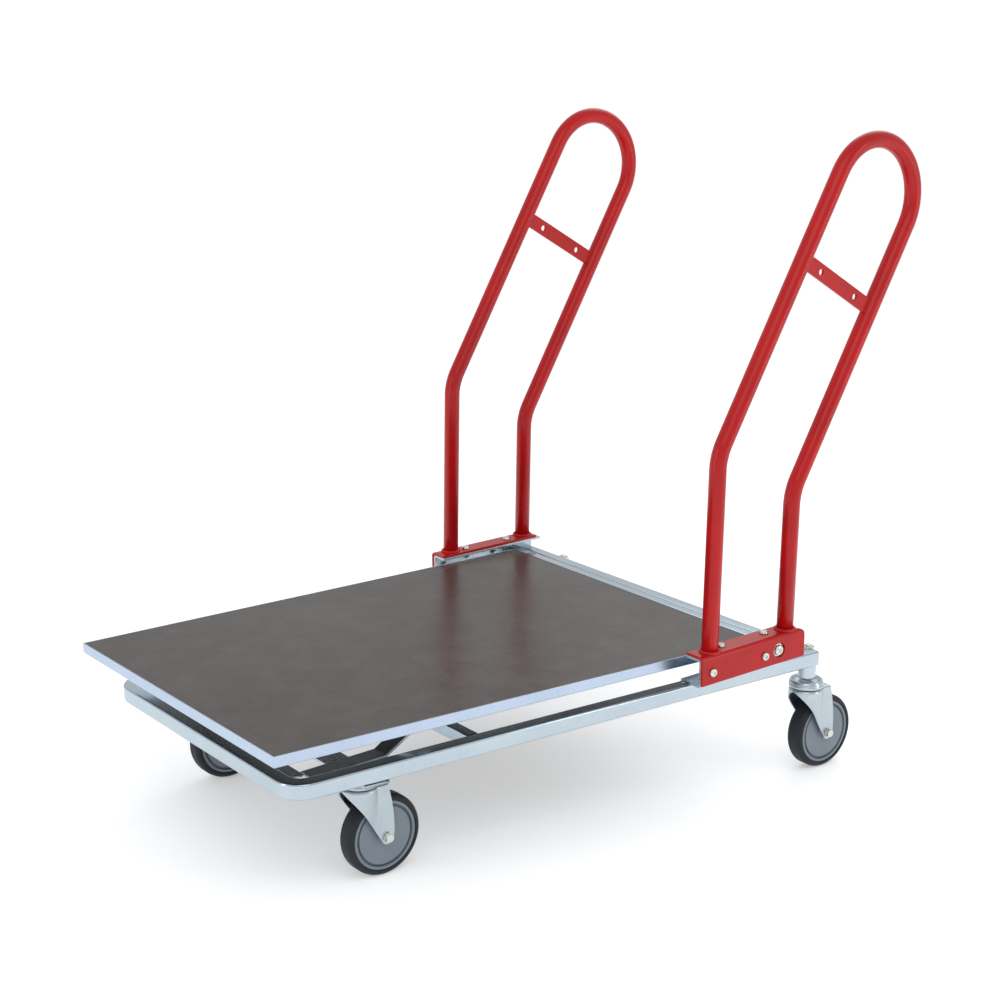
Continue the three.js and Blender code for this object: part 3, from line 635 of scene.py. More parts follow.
def film_faced_board():
    """Phenolic film on plywood: dark brown, faint grain along the deck, rubbed and dusty patches."""
    finish = Finish("film_faced_board", IOR=1.5, Specular_IOR_Level=0.3)
    tree = finish.tree
    grain = noise(tree, stretched(tree, finish.place, (4.0, 90.0, 30.0)), 5.0, 6.0, 0.65)
    patches = noise(tree, finish.place, 3.2, 5.0, 0.6)
    brown = two_tones(tree, grain, 0.35, 0.7, (0.046, 0.035, 0.030), (0.060, 0.047, 0.041))
    dust = finish.use(DUST, Amount=0.25)
    dusty = mix_colour(tree, dust["Mask"], brown, (0.13, 0.12, 0.11))
    finish.link(dusty, "Base Color")
    scuffs = finish.use(HAIRLINES, Vector=stretched(tree, finish.place, (3.0, 60.0, 1.0)), Scale=4.0,
                        Threshold=0.66)
    gloss = remap(tree, patches, 0.3, 0.7, 0.22, 0.34)
    rubbed = calculate(tree, "MULTIPLY", scuffs["Mask"], 0.12)
    finish.link(calculate(tree, "ADD", gloss, rubbed), "Roughness")
    finish.bump(grain, 0.00012)
    return finish.material


def wheel_plastic():
    """Moulded grey plastic: faint flow clouds and a fine satin grain."""
    finish = Finish("wheel_plastic", IOR=1.5)
    tree = finish.tree
    flow = noise(tree, finish.place, 30.0, 4.0)
    colour = two_tones(tree, flow, 0.35, 0.65, (0.160, 0.190, 0.225), (0.175, 0.210, 0.245))
    finish.link(colour, "Base Color")
    finish.link(remap(tree, flow, 0.3, 0.7, 0.38, 0.5), "Roughness")
    finish.bump(noise(tree, finish.place, 1400.0, 2.0), 0.00002)
    return finish.material


def tyre_rubber():
    """Dark grey rubber with a dry bloom and a fine mould grain."""
    finish = Finish("tyre_rubber", IOR=1.48, Specular_IOR_Level=0.3)
    tree = finish.tree
    bloom = noise(tree, finish.place, 24.0, 5.0, 0.6)
    colour = two_tones(tree, bloom, 0.35, 0.7, (0.012, 0.015, 0.020), (0.018, 0.022, 0.028))
    finish.link(colour, "Base Color")
    finish.link(remap(tree, bloom, 0.3, 0.7, 0.5, 0.66), "Roughness")
    finish.bump(noise(tree, finish.place, 900.0, 3.0), 0.00004)
    return finish.material


FINISHES = {
    "zinc": (zinc("zinc_tube", (0.50, 0.58, 0.63), (0.44, 0.52, 0.58), 0.14, 0.24), "zinc_steel"),
    "zinc_across": (zinc("zinc_cross_tube", (0.48, 0.57, 0.63), (0.43, 0.52, 0.58), 0.14, 0.24,
                         (40.0, 1.0, 40.0)), "zinc_steel"),
    "zinc_sheet": (zinc("zinc_pressings", (0.50, 0.56, 0.59), (0.41, 0.48, 0.52), 0.24, 0.38,
                        (12.0, 12.0, 12.0)), "zinc_steel"),
    "zinc_edge": (zinc("zinc_deck_edge", (0.48, 0.57, 0.70), (0.44, 0.53, 0.66), 0.18, 0.30), "zinc_steel"),
    "bolt": (zinc("bright_fasteners", (0.70, 0.71, 0.67), (0.56, 0.58, 0.54), 0.14, 0.28,
                  (20.0, 20.0, 20.0)), "bright_fasteners"),
    "red": (red_powder(), "red_powder_coat"),
    "board": (film_faced_board(), "film_faced_board"),
    "core": (wheel_plastic(), "grey_plastic"),
    "tyre": (tyre_rubber(), "tyre_rubber"),
}


# -------- base

def base_line():
    """Front and rear x of the base's centre line, the rear height, and the rise per length."""
    low, high = span("base_tube_frame")
    front = low[0] + TUBE / 2
    end = centre_of("rear_left_socket")[0]
    slope = BASE_DROP / (end - front)
    return front, end, high[2] - TUBE / 2 * (1 + slope), slope


def rail_at(x):
    """Half width and height of a rail's centre line at x."""
    front, end, end_z, slope = base_line()
    share = (x - front) / (end - front)
    return BASE_FRONT_HALF + share * (BASE_END_HALF - BASE_FRONT_HALF), end_z - (end - x) * slope


def make_base_tube():
    """U-shaped tube: a rounded plan outline laid in a plane that rises towards the rear."""
    front, end, end_z, slope = base_line()
    corners = [(end, -BASE_END_HALF), (front, -BASE_FRONT_HALF),
               (front, BASE_FRONT_HALF), (end, BASE_END_HALF)]
    flat, ways = rounded_run(corners, [BASE_BEND_R] * 2, 16)
    points = np.column_stack([flat, end_z - (end - flat[:, 0]) * slope])
    ways = np.column_stack([ways, ways[:, 0] * slope])
    ways /= np.linalg.norm(ways, axis=1, keepdims=True)
    up = np.array([-slope, 0, 1]) / math.hypot(slope, 1)
    grid = carried(points, ways, rounded_box(TUBE, TUBE, TUBE_CORNER), up)
    put("base_tube", [(grid, True, True)], "zinc", ["base_tube_frame"])


def make_cross_members():
    bars = {"mid_cross_tube": (2.5, "zinc_across"), "rear_cross_tube": (TUBE_CORNER, "zinc_across"),
            "deck_hinge_tube": (2.2, "zinc_across"), "rest_cross_strip": (1.0, "zinc_across"),
            "front_caster_carrier": (0.9, "zinc_sheet")}
    for node, (corner, finish) in bars.items():
        low, high = span(node)
        x, _, z = (low + high) / 2
        width, _, height = high - low
        bar = straight_bar((x, low[1], z), (x, high[1], z), width, height, corner)
        put(node + "_bar", [(bar, True, True)], finish, [node])


def make_rest_strips():
    """Strips inside the rails; their rear ends turn up and level out under the deck."""
    for name in SIDES:
        node = f"{name}_rest_strip"
        low, high = span(node)
        down, up = low[2] + REST_T / 2, high[2] - REST_T / 2
        corners = [(low[0], down), (low[0] + REST_FOLD[0], down + REST_FOLD[1]),
                   (low[0] + REST_LEVEL, up), (high[0], up)]
        flat, ways = rounded_run(corners, [9, 9])
        section = rounded_box(REST_T, high[1] - low[1], 0.8)
        grid = carried(in_plane(flat, 1, (low[1] + high[1]) / 2), in_plane(ways, 1), section, (0, 1, 0))
        put(f"{name}_rest", [(grid, True, True)], "zinc", [node])


def make_sockets():
    for name in ("rear_left", "rear_right"):
        node = f"{name}_socket"
        low, high = span(node)
        middle = (low + high) / 2
        radius, soft = (high[0] - low[0]) / 2, 0.7
        rows_r = [KINGPIN_BORE, radius - soft, radius, radius, radius - soft, KINGPIN_BORE, KINGPIN_BORE]
        rows_h = [low[2], low[2], low[2] + soft, high[2] - soft, high[2], high[2], low[2]]
        grid = turned(rows_r, rows_h, (middle[0], middle[1], 0))
        put(f"{name}_sleeve", round_sheets(grid), "zinc", [node])


# -------- channels and base angles

def pivot_point():
    return centre_of("left_pivot_bolt")[[0, 2]]


def turned_about_pivot(x, z, way):
    """(x, z) turned about the fold axis by the base's slope: way 1 onto the rail, -1 back level."""
    tilt = way * math.atan(base_line()[3])
    px, pz = pivot_point()
    dx, dz = x - px, z - pz
    return px + dx * math.cos(tilt) - dz * math.sin(tilt), pz + dx * math.sin(tilt) + dz * math.cos(tilt)


def along_rail(sheets):
    """Sheets drawn level, turned to lie along the sloping rail."""
    turned_sheets = []
    for grid, around, capped in sheets:
        x, z = turned_about_pivot(grid[..., 0], grid[..., 2], 1)
        turned_sheets.append((np.stack([x, grid[..., 1], z], axis=-1), around, capped))
    return turned_sheets


def level_place(node):
    """A node's middle, turned back to where it is in the level drawing of its bracket."""
    middle = centre_of(node)
    x, z = turned_about_pivot(middle[0], middle[2], -1)
    return np.array([x, middle[1], z])


def bracket_box():
    """Ends in x, and bottom and top, of a base angle as drawn level."""
    px, pz = pivot_point()
    return px + BRACKET_ENDS[0], px + BRACKET_ENDS[1], pz + ANGLE_BOTTOM, pz + ANGLE_TOP


def make_base_angle(name, side):
    """Red angle: upright flange with two bolt holes and the pivot window, top flange with two."""
    node = f"{name}_handle_base_angle"
    outer, inner = reach_across(node)
    pivot = pivot_point()
    start, end, bottom, top = bracket_box()
    section = [(outer, bottom), (outer, top), (inner, top)]
    fold = ANGLE_BEND_R * (math.pi / 2 - 2)
    whole = (top - bottom) + (outer - inner) + fold
    holes = []
    for k in (1, 2):
        x, _, z = level_place(f"{name}_side_bolt_{k}")
        holes.append((x, z - bottom, BOLT_R + 0.5))
        x, y, _ = level_place(f"{name}_top_bolt_{k}")
        holes.append((x, whole - (abs(y) - inner), BOLT_R + 0.5))
    holes.append((pivot[0], pivot[1] - bottom, PIVOT_WINDOW_R))
    xs = sorted(h[0] for h in holes)
    u_lines = [start, (xs[0] + xs[1]) / 2, (xs[1] + xs[2]) / 2, (xs[2] + xs[3]) / 2 - 2,
               pivot[0] + 21, end]
    last = u_lines[-2]

    def round_corner(x, y, z):
        """Shortens the last cells so that the rear end follows a quarter circle at the top."""
        rise = np.clip(z - (top - ANGLE_CORNER_R), 0, ANGLE_CORNER_R)
        edge = end - ANGLE_CORNER_R + np.sqrt(ANGLE_CORNER_R ** 2 - rise ** 2)
        share = np.clip((x - last) / (end - last), 0, None)
        return np.where(x > last, last + share * (edge - last), x)

    sheets = along_rail(pressed(u_lines, section, [ANGLE_BEND_R], holes, side, round_corner))
    put(f"{name}_foot_angle", sheets, "red", [node], wall=ANGLE_T, edge=0.7, outward=(0, side, 1))


def make_channel(name, side):
    """Galvanised channel, open to the inside, its wider lower flange on a strip along the rail."""
    node = f"{name}_bracket_channel"
    outer, foot_in = reach_across(node)
    _, inner = reach_across(f"{name}_handle_base_angle")
    start, end, bottom, top = np.array(bracket_box()) + (1, -1, -CHANNEL_T, -ANGLE_T - 0.3)
    section = [(foot_in, bottom), (outer, bottom), (outer, top), (inner, top)]
    sheets = along_rail(pressed(np.linspace(start, end, 5), section, [CHANNEL_BEND_R] * 2, [], side))
    put(f"{name}_channel", sheets, "zinc_sheet", [node], wall=CHANNEL_T, edge=0.5, outward=(0, side, 0))
    y, z = side * sum(PACKING) / 2, bottom - 2.4
    strip = straight_bar((start + 15, y, z), (end - 15, y, z), PACKING[1] - PACKING[0], PACKING_H, 0.6)
    put(f"{name}_packing_strip", along_rail([(strip, True, True)]), "zinc_sheet", [], body="base")


def make_side_bolts(name, side):
    """Button head outside, hexagon nut and thread end inside the channel, twice."""
    for k in (1, 2):
        node = f"{name}_side_bolt_{k}"
        x, _, z = level_place(node)
        put_bolt(node, (x, 0, z), outwards(side), reach_across(node)[0] - BOLT_HEAD_H)


def make_top_bolts(name):
    for k in (1, 2):
        node = f"{name}_top_bolt_{k}"
        x, y, _ = level_place(node)
        put_bolt(node, (x, y, 0), "z", pivot_point()[1] + ANGLE_TOP + 0.3)


def put_bolt(node, centre, axis, seat):
    """Bolt with its nut, the head seated at a distance from the centre along the axis."""
    grip, nut_h = ANGLE_T + CHANNEL_T + 0.6, 6.4
    at = steps_along(centre, axis)
    sheets = round_sheets(
        button_head(7, BOLT_HEAD_H, 4.8, at(seat), axis),
        rod(BOLT_R, 0, grip + nut_h + 2.2, at(seat), opposite(axis)),
        hex_block(13, nut_h, at(seat - grip), opposite(axis)),
    )
    put(node + "_set", along_rail(sheets), "bolt", [node])


def make_pivot_bolt(name, side):
    """Domed head and washer in the window of the angle, shank through the bush and hinge tube."""
    node = f"{name}_pivot_bolt"
    x, z = pivot_point()
    far, near = reach_across(node)
    axis = outwards(side)
    washer_h, head_h = 2.0, 4.9
    seat = far - washer_h - head_h
    at = steps_along((x, 0, z), axis)
    sheets = round_sheets(
        washer(10.5, washer_h, at(seat), axis),
        button_head(8.8, head_h, 6, at(seat + washer_h), axis),
        rod(PIVOT_R, 0, seat - near, at(seat), opposite(axis)),
    )
    put(f"{name}_hinge_bolt", sheets, "bolt", [node])


# -------- handles

def foot_height(x):
    """Top of the sloping base angle at x."""
    px, pz = pivot_point()
    return pz + ANGLE_TOP + (x - px) * base_line()[3]


def handle_lines():
    """Centre line of a handle in (x, z): up a leg, over the half circle and down the other leg."""
    low, high = span("left_handle_tube")
    front = low[0] + HANDLE_R
    rear = front + LEG_PITCH
    along = np.array([math.sin(LEAN), math.cos(LEAN)])
    across = np.array([math.cos(LEAN), -math.sin(LEAN)])
    knee_front = np.array([front, KNEE_FRONT_Z])
    knee_rear = np.array([rear, KNEE_REAR_Z])
    top_r = (knee_rear - knee_front) @ across / 2
    middle = knee_front + across * top_r
    top_centre = middle + along * (high[2] - HANDLE_R - top_r - middle[1]) / along[1]
    strap = middle + along * (STRAP_Z - middle[1]) / along[1]
    crest = top_centre + along * top_r
    corners = [(front, foot_height(front)), knee_front, crest - across * top_r, crest + across * top_r,
               knee_rear, (rear, foot_height(rear))]
    flat, ways = rounded_run(corners, [KNEE_R, top_r, top_r, KNEE_R], 20)
    return flat, ways, along, across, top_r, strap


def make_handle(name):
    node = f"{name}_handle_tube"
    flat, ways, *_ = handle_lines()
    y = centre_of(node)[1]
    grid = carried(in_plane(flat, 1, y), in_plane(ways, 1), circle(HANDLE_R, 40), (0, 1, 0))
    put(f"{name}_handle", [(grid, True, True)], "red", [node])


def make_strap(name):
    """Flat strap with two holes, its ends let into the legs."""
    node = f"{name}_handle_strap"
    _, _, along, across, top_r, centre = handle_lines()
    y = centre_of(node)[1]
    half = top_r - HANDLE_R + 3.5
    pitch = STRAP_HOLE_PITCH / 2
    u_lines = [-half, -pitch - 12, -pitch + 12, pitch - 12, pitch + 12, half]
    holes = [(-pitch, 0, STRAP_HOLE_R), (pitch, 0, STRAP_HOLE_R)]
    sheets = []
    for grid, around in blank_cells(u_lines, [(-STRAP_H / 2, STRAP_H / 2)], [], holes):
        flat = centre + grid[..., :1] * across + grid[..., 1:] * along
        level = np.full(flat.shape[:2], y + STRAP_T / 2)
        sheets.append((np.stack([flat[..., 0], level, flat[..., 1]], axis=-1), around, False))
    put(f"{name}_strap", sheets, "red", [node], wall=STRAP_T, edge=0.7, outward=(0, 1, 0))


def make_handle_welds(name, side):
    """Fillet welds round both legs' feet, and down both faces of the strap at each end."""
    flat, _, along, across, top_r, centre = handle_lines()
    y = centre_of(f"{name}_handle_tube")[1]
    sheets = []
    for k, x in enumerate((flat[0, 0], flat[-1, 0])):
        ring = circle(HANDLE_R + 0.9, 64) + [x, y]
        path = np.column_stack([ring, foot_height(ring[:, 0]) + 0.7])
        sheets.append(bead(path, 2.9, closed=True, seed=k + 2 * (side > 0)))
    reach = top_r - HANDLE_R + 0.9
    for k, (end, face) in enumerate(((-1, -1), (-1, 1), (1, -1), (1, 1))):
        run = [centre + across * end * reach + along * s * STRAP_H / 2 * 0.92 for s in (-1, 1)]
        level = y + face * (STRAP_T / 2 + 0.2)
        sheets.append(bead(in_plane(np.array(run), 1, level), 2.0, seed=10 + k))
    put(f"{name}_handle_welds", sheets, "red", [], body="base")


# -------- deck

def deck_taper():
    """Front and rear x of the deck, and how much its half width grows per length."""
    front = span("front_deck_edge_angle")[0][0]
    rear = span("rear_deck_edge_angle")[1][0]
    rear_half = span("right_deck_edge_angle")[1][1]
    return front, rear, (rear_half - DECK_FRONT_HALF) / (rear - front)


def deck_half(x, inset):
    """Half width of the deck at x, on a line moved inwards by inset."""
    front, _, slope = deck_taper()
    return DECK_FRONT_HALF + (x - front) * slope - inset * math.hypot(1, slope)


def edge_section():
    """Outline of the edge angle as (inset, z), its folded corner and its lips rounded."""
    low, high = span("front_deck_edge_angle")
    bottom, top = low[2], high[2]
    loop = [(1, top), (0, top), (0, bottom), (EDGE_LEG, bottom), (EDGE_LEG, bottom + EDGE_T),
            (EDGE_T, bottom + EDGE_T), (EDGE_T, top), (1, top)]
    points, _ = rounded_run(loop, [0.5, 2.4, 0.4, 0.4, 0.6, 0.5], 5)
    return points[:-1]


def make_deck_edges():
    """Four edge angles, each one section drawn at the two mitred ends."""
    section = edge_section()
    inset, z = section[:, 0], section[:, 1]
    front, rear, _ = deck_taper()
    across = {"front": front + inset, "rear": rear - inset}
    ends = {name: [(x, side * deck_half(x, inset)) for x in across.values()] for name, side in SIDES.items()}
    for name, x in across.items():
        ends[name] = [(x, side * (deck_half(x, inset) - 0.3)) for side in SIDES.values()]
    for name, pair in ends.items():
        grid = np.stack([np.column_stack([x, y, z]) for x, y in pair])
        put(f"{name}_deck_edge", [(grid, True, True)], "zinc_edge", [f"{name}_deck_edge_angle"])


def make_board():
    """Tapered plywood board: its outline at four levels, drawn in by the arris at both faces."""
    low, high = span("deck_board")
    front, rear, _ = deck_taper()
    arris = 0.5
    rows = []
    for draw, z in ((arris, low[2]), (0, low[2] + arris), (0, high[2] - arris), (arris, high[2])):
        inset = EDGE_T + 0.3 + draw
        x0, x1 = front + inset, rear - inset
        y0, y1 = deck_half(x0, inset), deck_half(x1, inset)
        rows.append([(x0, -y0, z), (x1, -y1, z), (x1, y1, z), (x0, y0, z)])
    put("deck_board_panel", [(np.array(rows), True, True)], "board", ["deck_board"])


# -------- casters

HOOD_R = 28.5                # the crown and the hood round the swivel axis
CREASE_X = 16                # where the flared hood meets the flat leg
CREASE_ANGLE = math.acos(CREASE_X / HOOD_R)
CROWN_REAR = 38
FOLD_R = 4.5
LEG_END_R = 11               # round end of a leg at the axle
LEG_END_FROM = 215           # where that round begins in front, in degrees
RIM_ROWS = 33
LEG_ROWS = 25


def leg_outline(t):
    """Front and rear edges of a fork leg as (q, z), q the length along the leg from the crease.

    Each is a Bezier curve: the front one runs from the hood's front point down to the axle in an S,
    the rear one from the crown's rear corner to just behind the axle.
    """
    top = CROWN_TOP - FOLD_R
    start = (-HOOD_R * (math.pi - CREASE_ANGLE), top)
    low_front, low_rear = leg_end(LEG_END_FROM), leg_end(360)
    front = bezier([start, (-38, 133), (-18, 104), low_front], t)
    rear_q = CROWN_REAR - CREASE_X
    rear = bezier([(rear_q, top), (rear_q + 6, 120), low_rear + (1.5, 29.5), low_rear], t)
    return front, rear


def leg_end(degrees):
    """Points (q, z) on a leg's round end, at angles about the axle."""
    a = np.radians(degrees)
    return np.array([TRAIL - CREASE_X, WHEEL_R]) + LEG_END_R * np.stack([np.cos(a), np.sin(a)], axis=-1)


def bezier(controls, t):
    """Cubic Bezier: the sum of the four points times (1-t)^3, 3t(1-t)^2, 3t^2(1-t), t^3."""
    t = np.asarray(t)[:, None]
    a, b, c, d = (np.asarray(p, float) for p in controls)
    return a * (1 - t) ** 3 + 3 * b * t * (1 - t) ** 2 + 3 * c * t ** 2 * (1 - t) + d * t ** 3


def hood_weight(z):
    """How far the sheet follows the round hood at a height: 0 at the axle, 1 near the crown."""
    s = np.clip((z - 66) / (CROWN_TOP - 4 - 66), 0, 1)
    return s * s * (3 - 2 * s)


def leg_points(q, z, inset=0.0):
    """Outer face of a leg: flat behind the crease, and in front of it a blend of the flat plane
    with a cylinder round the swivel axis, by hood_weight."""
    flat_y = FORK_HALF - inset
    radius = HOOD_R - inset
    angle = CREASE_ANGLE + np.clip(-q, 0, None) / HOOD_R
    w = hood_weight(z)
    ahead = q < 0
    round_x, round_y = radius * np.cos(angle), radius * np.sin(angle)
    x = np.where(ahead, (1 - w) * (CREASE_X + q) + w * round_x, CREASE_X + q)
    step = w * (round_y - flat_y) * np.clip(1 - q / 2.5, 0, 1)
    y = np.where(ahead, (1 - w) * flat_y + w * round_y, flat_y + step)
    return x, y


def fork_half(side):
    """Half of a fork as one grid: from the crown's middle line out over the fold and down the leg.

    Rows follow the rim from the front point to the rear corner. The leg is a Coons patch: between
    its edge curves, between the rim and the round end at the axle, less the corners' bilinear part.
    """
    share = np.linspace(0, 1, RIM_ROWS)
    t = np.linspace(0, 1, LEG_ROWS)
    front, rear = leg_outline(t)
    top_q = front[0, 0] + share * (rear[0, 0] - front[0, 0])
    top = np.stack([top_q, np.full(RIM_ROWS, front[0, 1])], axis=-1)
    bottom = leg_end(LEG_END_FROM + (360 - LEG_END_FROM) * share)
    s, v = share[:, None, None], t[None, :, None]
    leg = (1 - s) * front[None] + s * rear[None] + (1 - v) * top[:, None] + v * bottom[:, None]
    leg -= (1 - v) * ((1 - s) * front[0] + s * rear[0]) + v * ((1 - s) * front[-1] + s * rear[-1])
    x, y = leg_points(leg[..., 0], leg[..., 1])
    wall = np.stack([x, y, leg[..., 1]], axis=-1)
    rim = wall[:, 0]
    f = np.radians(np.linspace(90, 15, 5))[None, :, None]
    in_x, in_y = leg_points(top_q, np.full(RIM_ROWS, CROWN_TOP), FOLD_R)
    inner = np.stack([in_x, in_y, np.full(RIM_ROWS, CROWN_TOP - FOLD_R)], axis=-1)
    outward = (rim - inner)[:, None]
    lift = np.array([0, 0, FOLD_R])
    fold = inner[:, None] + outward * np.cos(f) + lift * np.sin(f)
    middle = np.linspace((fold[0, 0, 0], 0, CROWN_TOP), (fold[-1, 0, 0], 0, CROWN_TOP), RIM_ROWS)
    g = np.linspace(0, 1, 7)[None, :-1, None]
    crown = middle[:, None] * (1 - g) + fold[:, :1] * g
    grid = np.concatenate([crown, fold, wall], axis=1)
    return grid * [1, side, 1]


def make_fork(name, where):
    sheets = [(fork_half(side) + where, False, False) for side in (-1, 1)]
    put(f"{name}_fork_pressing", sheets, "zinc_sheet", [f"{name}_fork"], wall=FORK_T, edge=0.5,
        edge_steps=2, outward=(0, 0, 1))


def make_cup(name, where):
    """Swivel head: a dished upper cup with two ridges round its edge."""
    node = f"{name}_swivel_cup"
    low, high = span(node)
    top, bottom = high[2], low[2]
    outline = [(KINGPIN_BORE, top - 6), (14, top - 6), (20, top - 5.4), (23.5, top - 1.2), (25, top),
               (26.8, top - 1.2), (28.2, top - 4), (28.9, top - 6.2), (28.2, top - 7.4), (29, top - 9),
               (28.4, bottom + 1), (26.5, bottom), (KINGPIN_BORE, bottom), (KINGPIN_BORE, top - 6)]
    points, _ = rounded_run(outline, [2, 4, 1.2, 1, 1, 1.2, 0.7, 0.5, 0.6, 0.8, 0.6, 0.3], 4)
    grid = turned(points[:, 0], points[:, 1], (where[0], where[1], 0), count=64)
    put(f"{name}_cup", round_sheets(grid), "zinc_sheet", [node])


def make_kingpin(name, where):
    """Hexagon head under the crown, collar in the cup's dish, washer and nut above the mounting."""
    node = f"{name}_kingpin"
    low, high = span(node)
    cup_top = span(f"{name}_swivel_cup")[1][2]
    at = steps_along(where, "z")
    seat = high[2] - 12
    sheets = round_sheets(
        hex_block(19, 7, at(CROWN_TOP - FORK_T - 0.8), "-z"),
        rod(KINGPIN_R, low[2], high[2], where, "z"),
        hex_block(22, 6.3, at(cup_top - 6.2), "z"),
        washer(11.8, 1.8, at(seat), "z"),
        hex_block(19, 8, at(seat + 1.8), "z"),
    )
    put(f"{name}_king_bolt", sheets, "bolt", [node])


def make_axle(name, where, side):
    """Hexagon head outside the outer leg, nut and thread end outside the inner one."""
    node = f"{name}_axle_bolt"
    head = outwards(side)
    at = steps_along(where + (TRAIL, 0, WHEEL_R), head)
    face = FORK_HALF + 0.3
    sheets = round_sheets(
        washer(7.9, 1.2, at(face), head),
        hex_block(13, 4.9, at(face + 1.2), head),
        rod(AXLE_R, -2 * face - 8.5, 0, at(face), head),
        washer(7.9, 1.2, at(-face), opposite(head)),
        hex_block(13, 5.6, at(-face - 1.2), opposite(head)),
    )
    put(f"{name}_axle", sheets, "bolt", [node])


def mirrored_ring(side, radii, last_radius, steps, where, count):
    """A ring round the axle: one side's profile (r, h), mirrored to the other, its corners rounded."""
    outline = side + [(r, -h) for r, h in side[::-1]] + side[:1]
    points, _ = rounded_run(outline, radii + radii[::-1] + [last_radius], steps)
    return round_sheets(turned(points[:, 0], points[:, 1], where + (TRAIL, 0, WHEEL_R), "y", count))


def make_wheel(name, where):
    """Grey core with a raised rim and a groove round its disc, and a rubber tyre with soft shoulders."""
    side = [(4.3, 17.5), (11.2, 17.5), (12.2, 13.6), (44.4, 13.6), (45.2, 8.6), (47.6, 8.6),
            (48.4, 14.2), (CORE_R - 0.2, 14.2)]
    core = mirrored_ring(side, [0.8, 1.6, 0.6, 0.5, 0.5, 0.6, 0.8], 0.2, 4, where, 96)
    put(f"{name}_wheel_body", core, "core", [f"{name}_wheel_core"])
    side = [(CORE_R - 0.2, 12), (CORE_R + 0.3, 14.6), (CORE_R + 1.6, 15.6), (57.5, 15.6), (WHEEL_R, 10.5)]
    tread = mirrored_ring(side, [0.4, 1.0, 5.5, 9.0], 0.1, 8, where, 128)
    put(f"{name}_tyre_ring", tread, "tyre", [f"{name}_tyre"])


def make_caster(name):
    cup = centre_of(f"{name}_swivel_cup")
    where = np.array((cup[0], cup[1], 0))
    side = math.copysign(1, cup[1])
    make_fork(name, where)
    make_cup(name, where)
    make_kingpin(name, where)
    make_axle(name, where, side)
    make_wheel(name, where)


# -------- welds of the base

def make_base_welds():
    """Fillet beads where the base's tubes, strips, channels and sockets meet."""
    beads = []
    for name, side in SIDES.items():
        low, high = span("mid_cross_tube")
        for x in (low[0], high[0]):
            y = side * (rail_at(x)[0] - TUBE / 2 - 0.2)
            beads.append([(x, y, low[2] + 2), (x, y, high[2] - 2)])
        x, y, _ = centre_of(f"rear_{name}_socket")
        height = rail_at(x)[1]
        for offset in (-11.5, 11.5):
            beads.append([(x - 9.5, y + offset, height + z) for z in (-9, 9)])
        strip_x, _, strip_z = span(f"{name}_rest_strip")[0]
        edge, inner = reach_across(f"{name}_rest_strip")
        z = strip_z + REST_T
        beads.append([(strip_x + 1, side * edge, z), (strip_x + 24, side * edge, z + 0.8)])
        beads.append([(strip_x - 0.3, side * y, z) for y in (inner + 5, edge - 5)])
        for x in [corner[0] for corner in span("front_caster_carrier")]:
            half, height = rail_at(x)
            beads.append([(x, side * (half + y), height - TUBE / 2 - 0.6) for y in (-10, 10)])
        foot_in = reach_across(f"{name}_bracket_channel")[1]
        start = bracket_box()[0] + 2
        for begin, length, y in ((0, 14, foot_in + 3), (70, 24, foot_in + 5.5), (150, 24, foot_in + 9)):
            ends = (start + begin, start + begin + length)
            beads.append([(x, side * y, rail_at(x)[1] + TUBE / 2 + 2.2) for x in ends])
    sheets = [bead(path, 1.9, seed=20 + k) for k, path in enumerate(beads)]
    put("base_welds", sheets, "zinc_sheet", [], body="base")


# -------- studio

CAMERA_AT = (-1.79585, -2.3152, 1.2292)
CAMERA_AZIMUTH = math.radians(-38.036)
CAMERA_ELEVATION = math.radians(14.732)
CAMERA_ROLL = math.radians(0.877)
CAMERA_LENS = 67.776


def place_camera():
    """A camera that looks back along (sin a cos e, -cos a cos e, sin e), rolled a little."""
    a, e, roll = CAMERA_AZIMUTH, CAMERA_ELEVATION, CAMERA_ROLL
    back = Vector((math.sin(a) * math.cos(e), -math.cos(a) * math.cos(e), math.sin(e)))
    right = Vector((math.cos(a), math.sin(a), 0))
    up = back.cross(right)
    turned_right = right * math.cos(roll) + up * math.sin(roll)
    turned_up = up * math.cos(roll) - right * math.sin(roll)
    camera = bpy.data.objects.new("camera", bpy.data.cameras.new("camera"))
    camera.data.lens = CAMERA_LENS
    camera.data.sensor_width = 36
    camera.data.clip_end = 100
    turn = Matrix((turned_right, turned_up, back)).transposed()
    camera.matrix_world = Matrix.Translation(CAMERA_AT) @ turn.to_4x4()
    bpy.context.scene.collection.objects.link(camera)
    bpy.context.scene.camera = camera


def area_light(name, location, target, size, power):
    light = bpy.data.lights.new(name, "AREA")
    light.shape = "RECTANGLE"
    light.size, light.size_y = size
    light.energy = power
    lamp = bpy.data.objects.new(name, light)
    lamp.location = location
    aim = Vector(target) - Vector(location)
    lamp.rotation_euler = aim.to_track_quat("-Z", "Y").to_euler()
    bpy.context.scene.collection.objects.link(lamp)


WORLD_FILL = 0.75            # light of the surroundings, which look white to the camera
WORLD_SEEN = 1.05
FLOOR_GLOW = 0.35            # keeps the white floor's shadow faint
FLOOR_HALF = 30.0
LIGHTS = {                   # place and target in metres, size, watts
    "key": ((-1.5, -2.2, 3.2), (0, 0, 0.3), (2.4, 2.4), 22),
    "rim": ((2.4, 1.2, 2.6), (0.2, 0, 0.5), (2.0, 2.0), 16),
    "left_strip": ((-3.0, 0.2, 1.0), (0.2, 0, 0.7), (0.5, 1.8), 9),
    "right_strip": ((2.0, -2.6, 1.0), (0.3, 0, 0.7), (0.5, 1.8), 9),
}


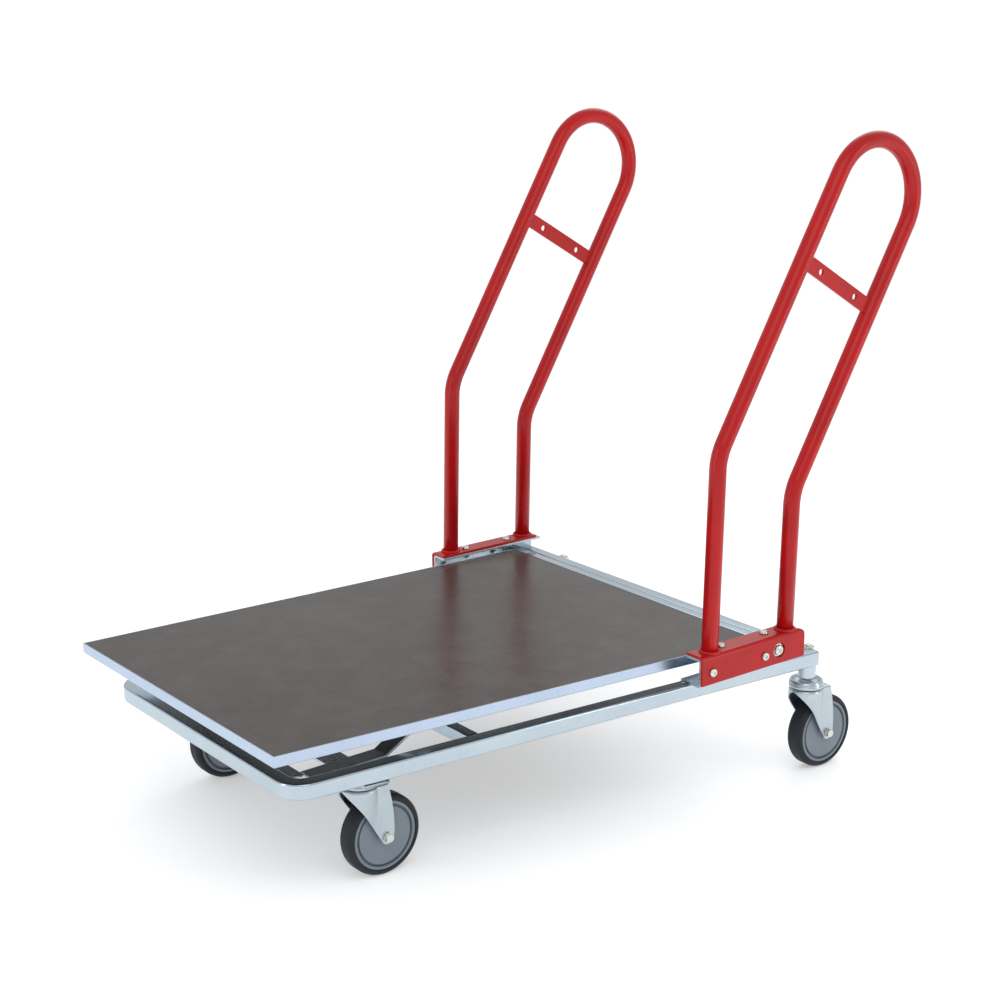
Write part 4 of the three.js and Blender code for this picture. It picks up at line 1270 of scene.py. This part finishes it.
def make_studio():
    """White surroundings, a white floor and large soft lights."""
    bpy.context.scene.view_settings.view_transform = "Standard"
    world = bpy.data.worlds.new("studio")
    bpy.context.scene.world = world
    world.use_nodes = True
    nodes, links = world.node_tree.nodes, world.node_tree.links
    seen = nodes["Background"]
    seen.inputs["Color"].default_value = (1, 1, 1, 1)
    seen.inputs["Strength"].default_value = WORLD_SEEN
    fill = nodes.new("ShaderNodeBackground")
    fill.inputs["Color"].default_value = (0.97, 0.985, 1, 1)
    fill.inputs["Strength"].default_value = WORLD_FILL
    ray = nodes.new("ShaderNodeLightPath")
    either = nodes.new("ShaderNodeMixShader")
    links.new(ray.outputs["Is Camera Ray"], either.inputs["Fac"])
    links.new(fill.outputs["Background"], either.inputs[1])
    links.new(seen.outputs["Background"], either.inputs[2])
    links.new(either.outputs["Shader"], nodes["World Output"].inputs["Surface"])
    make_floor()
    for name, setting in LIGHTS.items():
        area_light(name, *setting)


def make_floor():
    """A square of white paint that glows a little."""
    floor_mesh = bpy.data.meshes.new("floor")
    corners = [(x * FLOOR_HALF, y * FLOOR_HALF, 0) for x, y in ((-1, -1), (1, -1), (1, 1), (-1, 1))]
    floor_mesh.from_pydata(corners, [], [(0, 1, 2, 3)])
    floor = bpy.data.objects.new("floor", floor_mesh)
    bpy.context.scene.collection.objects.link(floor)
    paint = Finish("floor_paint", IOR=1.4, Emission_Strength=FLOOR_GLOW, Emission_Color=(1, 1, 1, 1),
                   Specular_IOR_Level=0.0, Roughness=0.9)
    clouds = noise(paint.tree, paint.place, 2.0)
    shade = mix_colour(paint.tree, clouds, (0.93, 0.93, 0.93), (0.95, 0.95, 0.95))
    paint.link(shade, "Base Color")
    floor_mesh.materials.append(paint.material)


# -------- assembly

place_camera()
make_studio()
make_base_tube()
make_cross_members()
make_rest_strips()
make_sockets()
for side_name, side_sign in SIDES.items():
    make_base_angle(side_name, side_sign)
    make_channel(side_name, side_sign)
    make_side_bolts(side_name, side_sign)
    make_top_bolts(side_name)
    make_pivot_bolt(side_name, side_sign)
    make_handle(side_name)
    make_strap(side_name)
    make_handle_welds(side_name, side_sign)
    bush = frame["nodes"][f"{side_name}_pivot_bush"]
    bush.data.materials.clear()
    bush.data.materials.append(FINISHES["bolt"][0])
make_deck_edges()
make_board()
for caster_name in CASTERS:
    make_caster(caster_name)
make_base_welds()
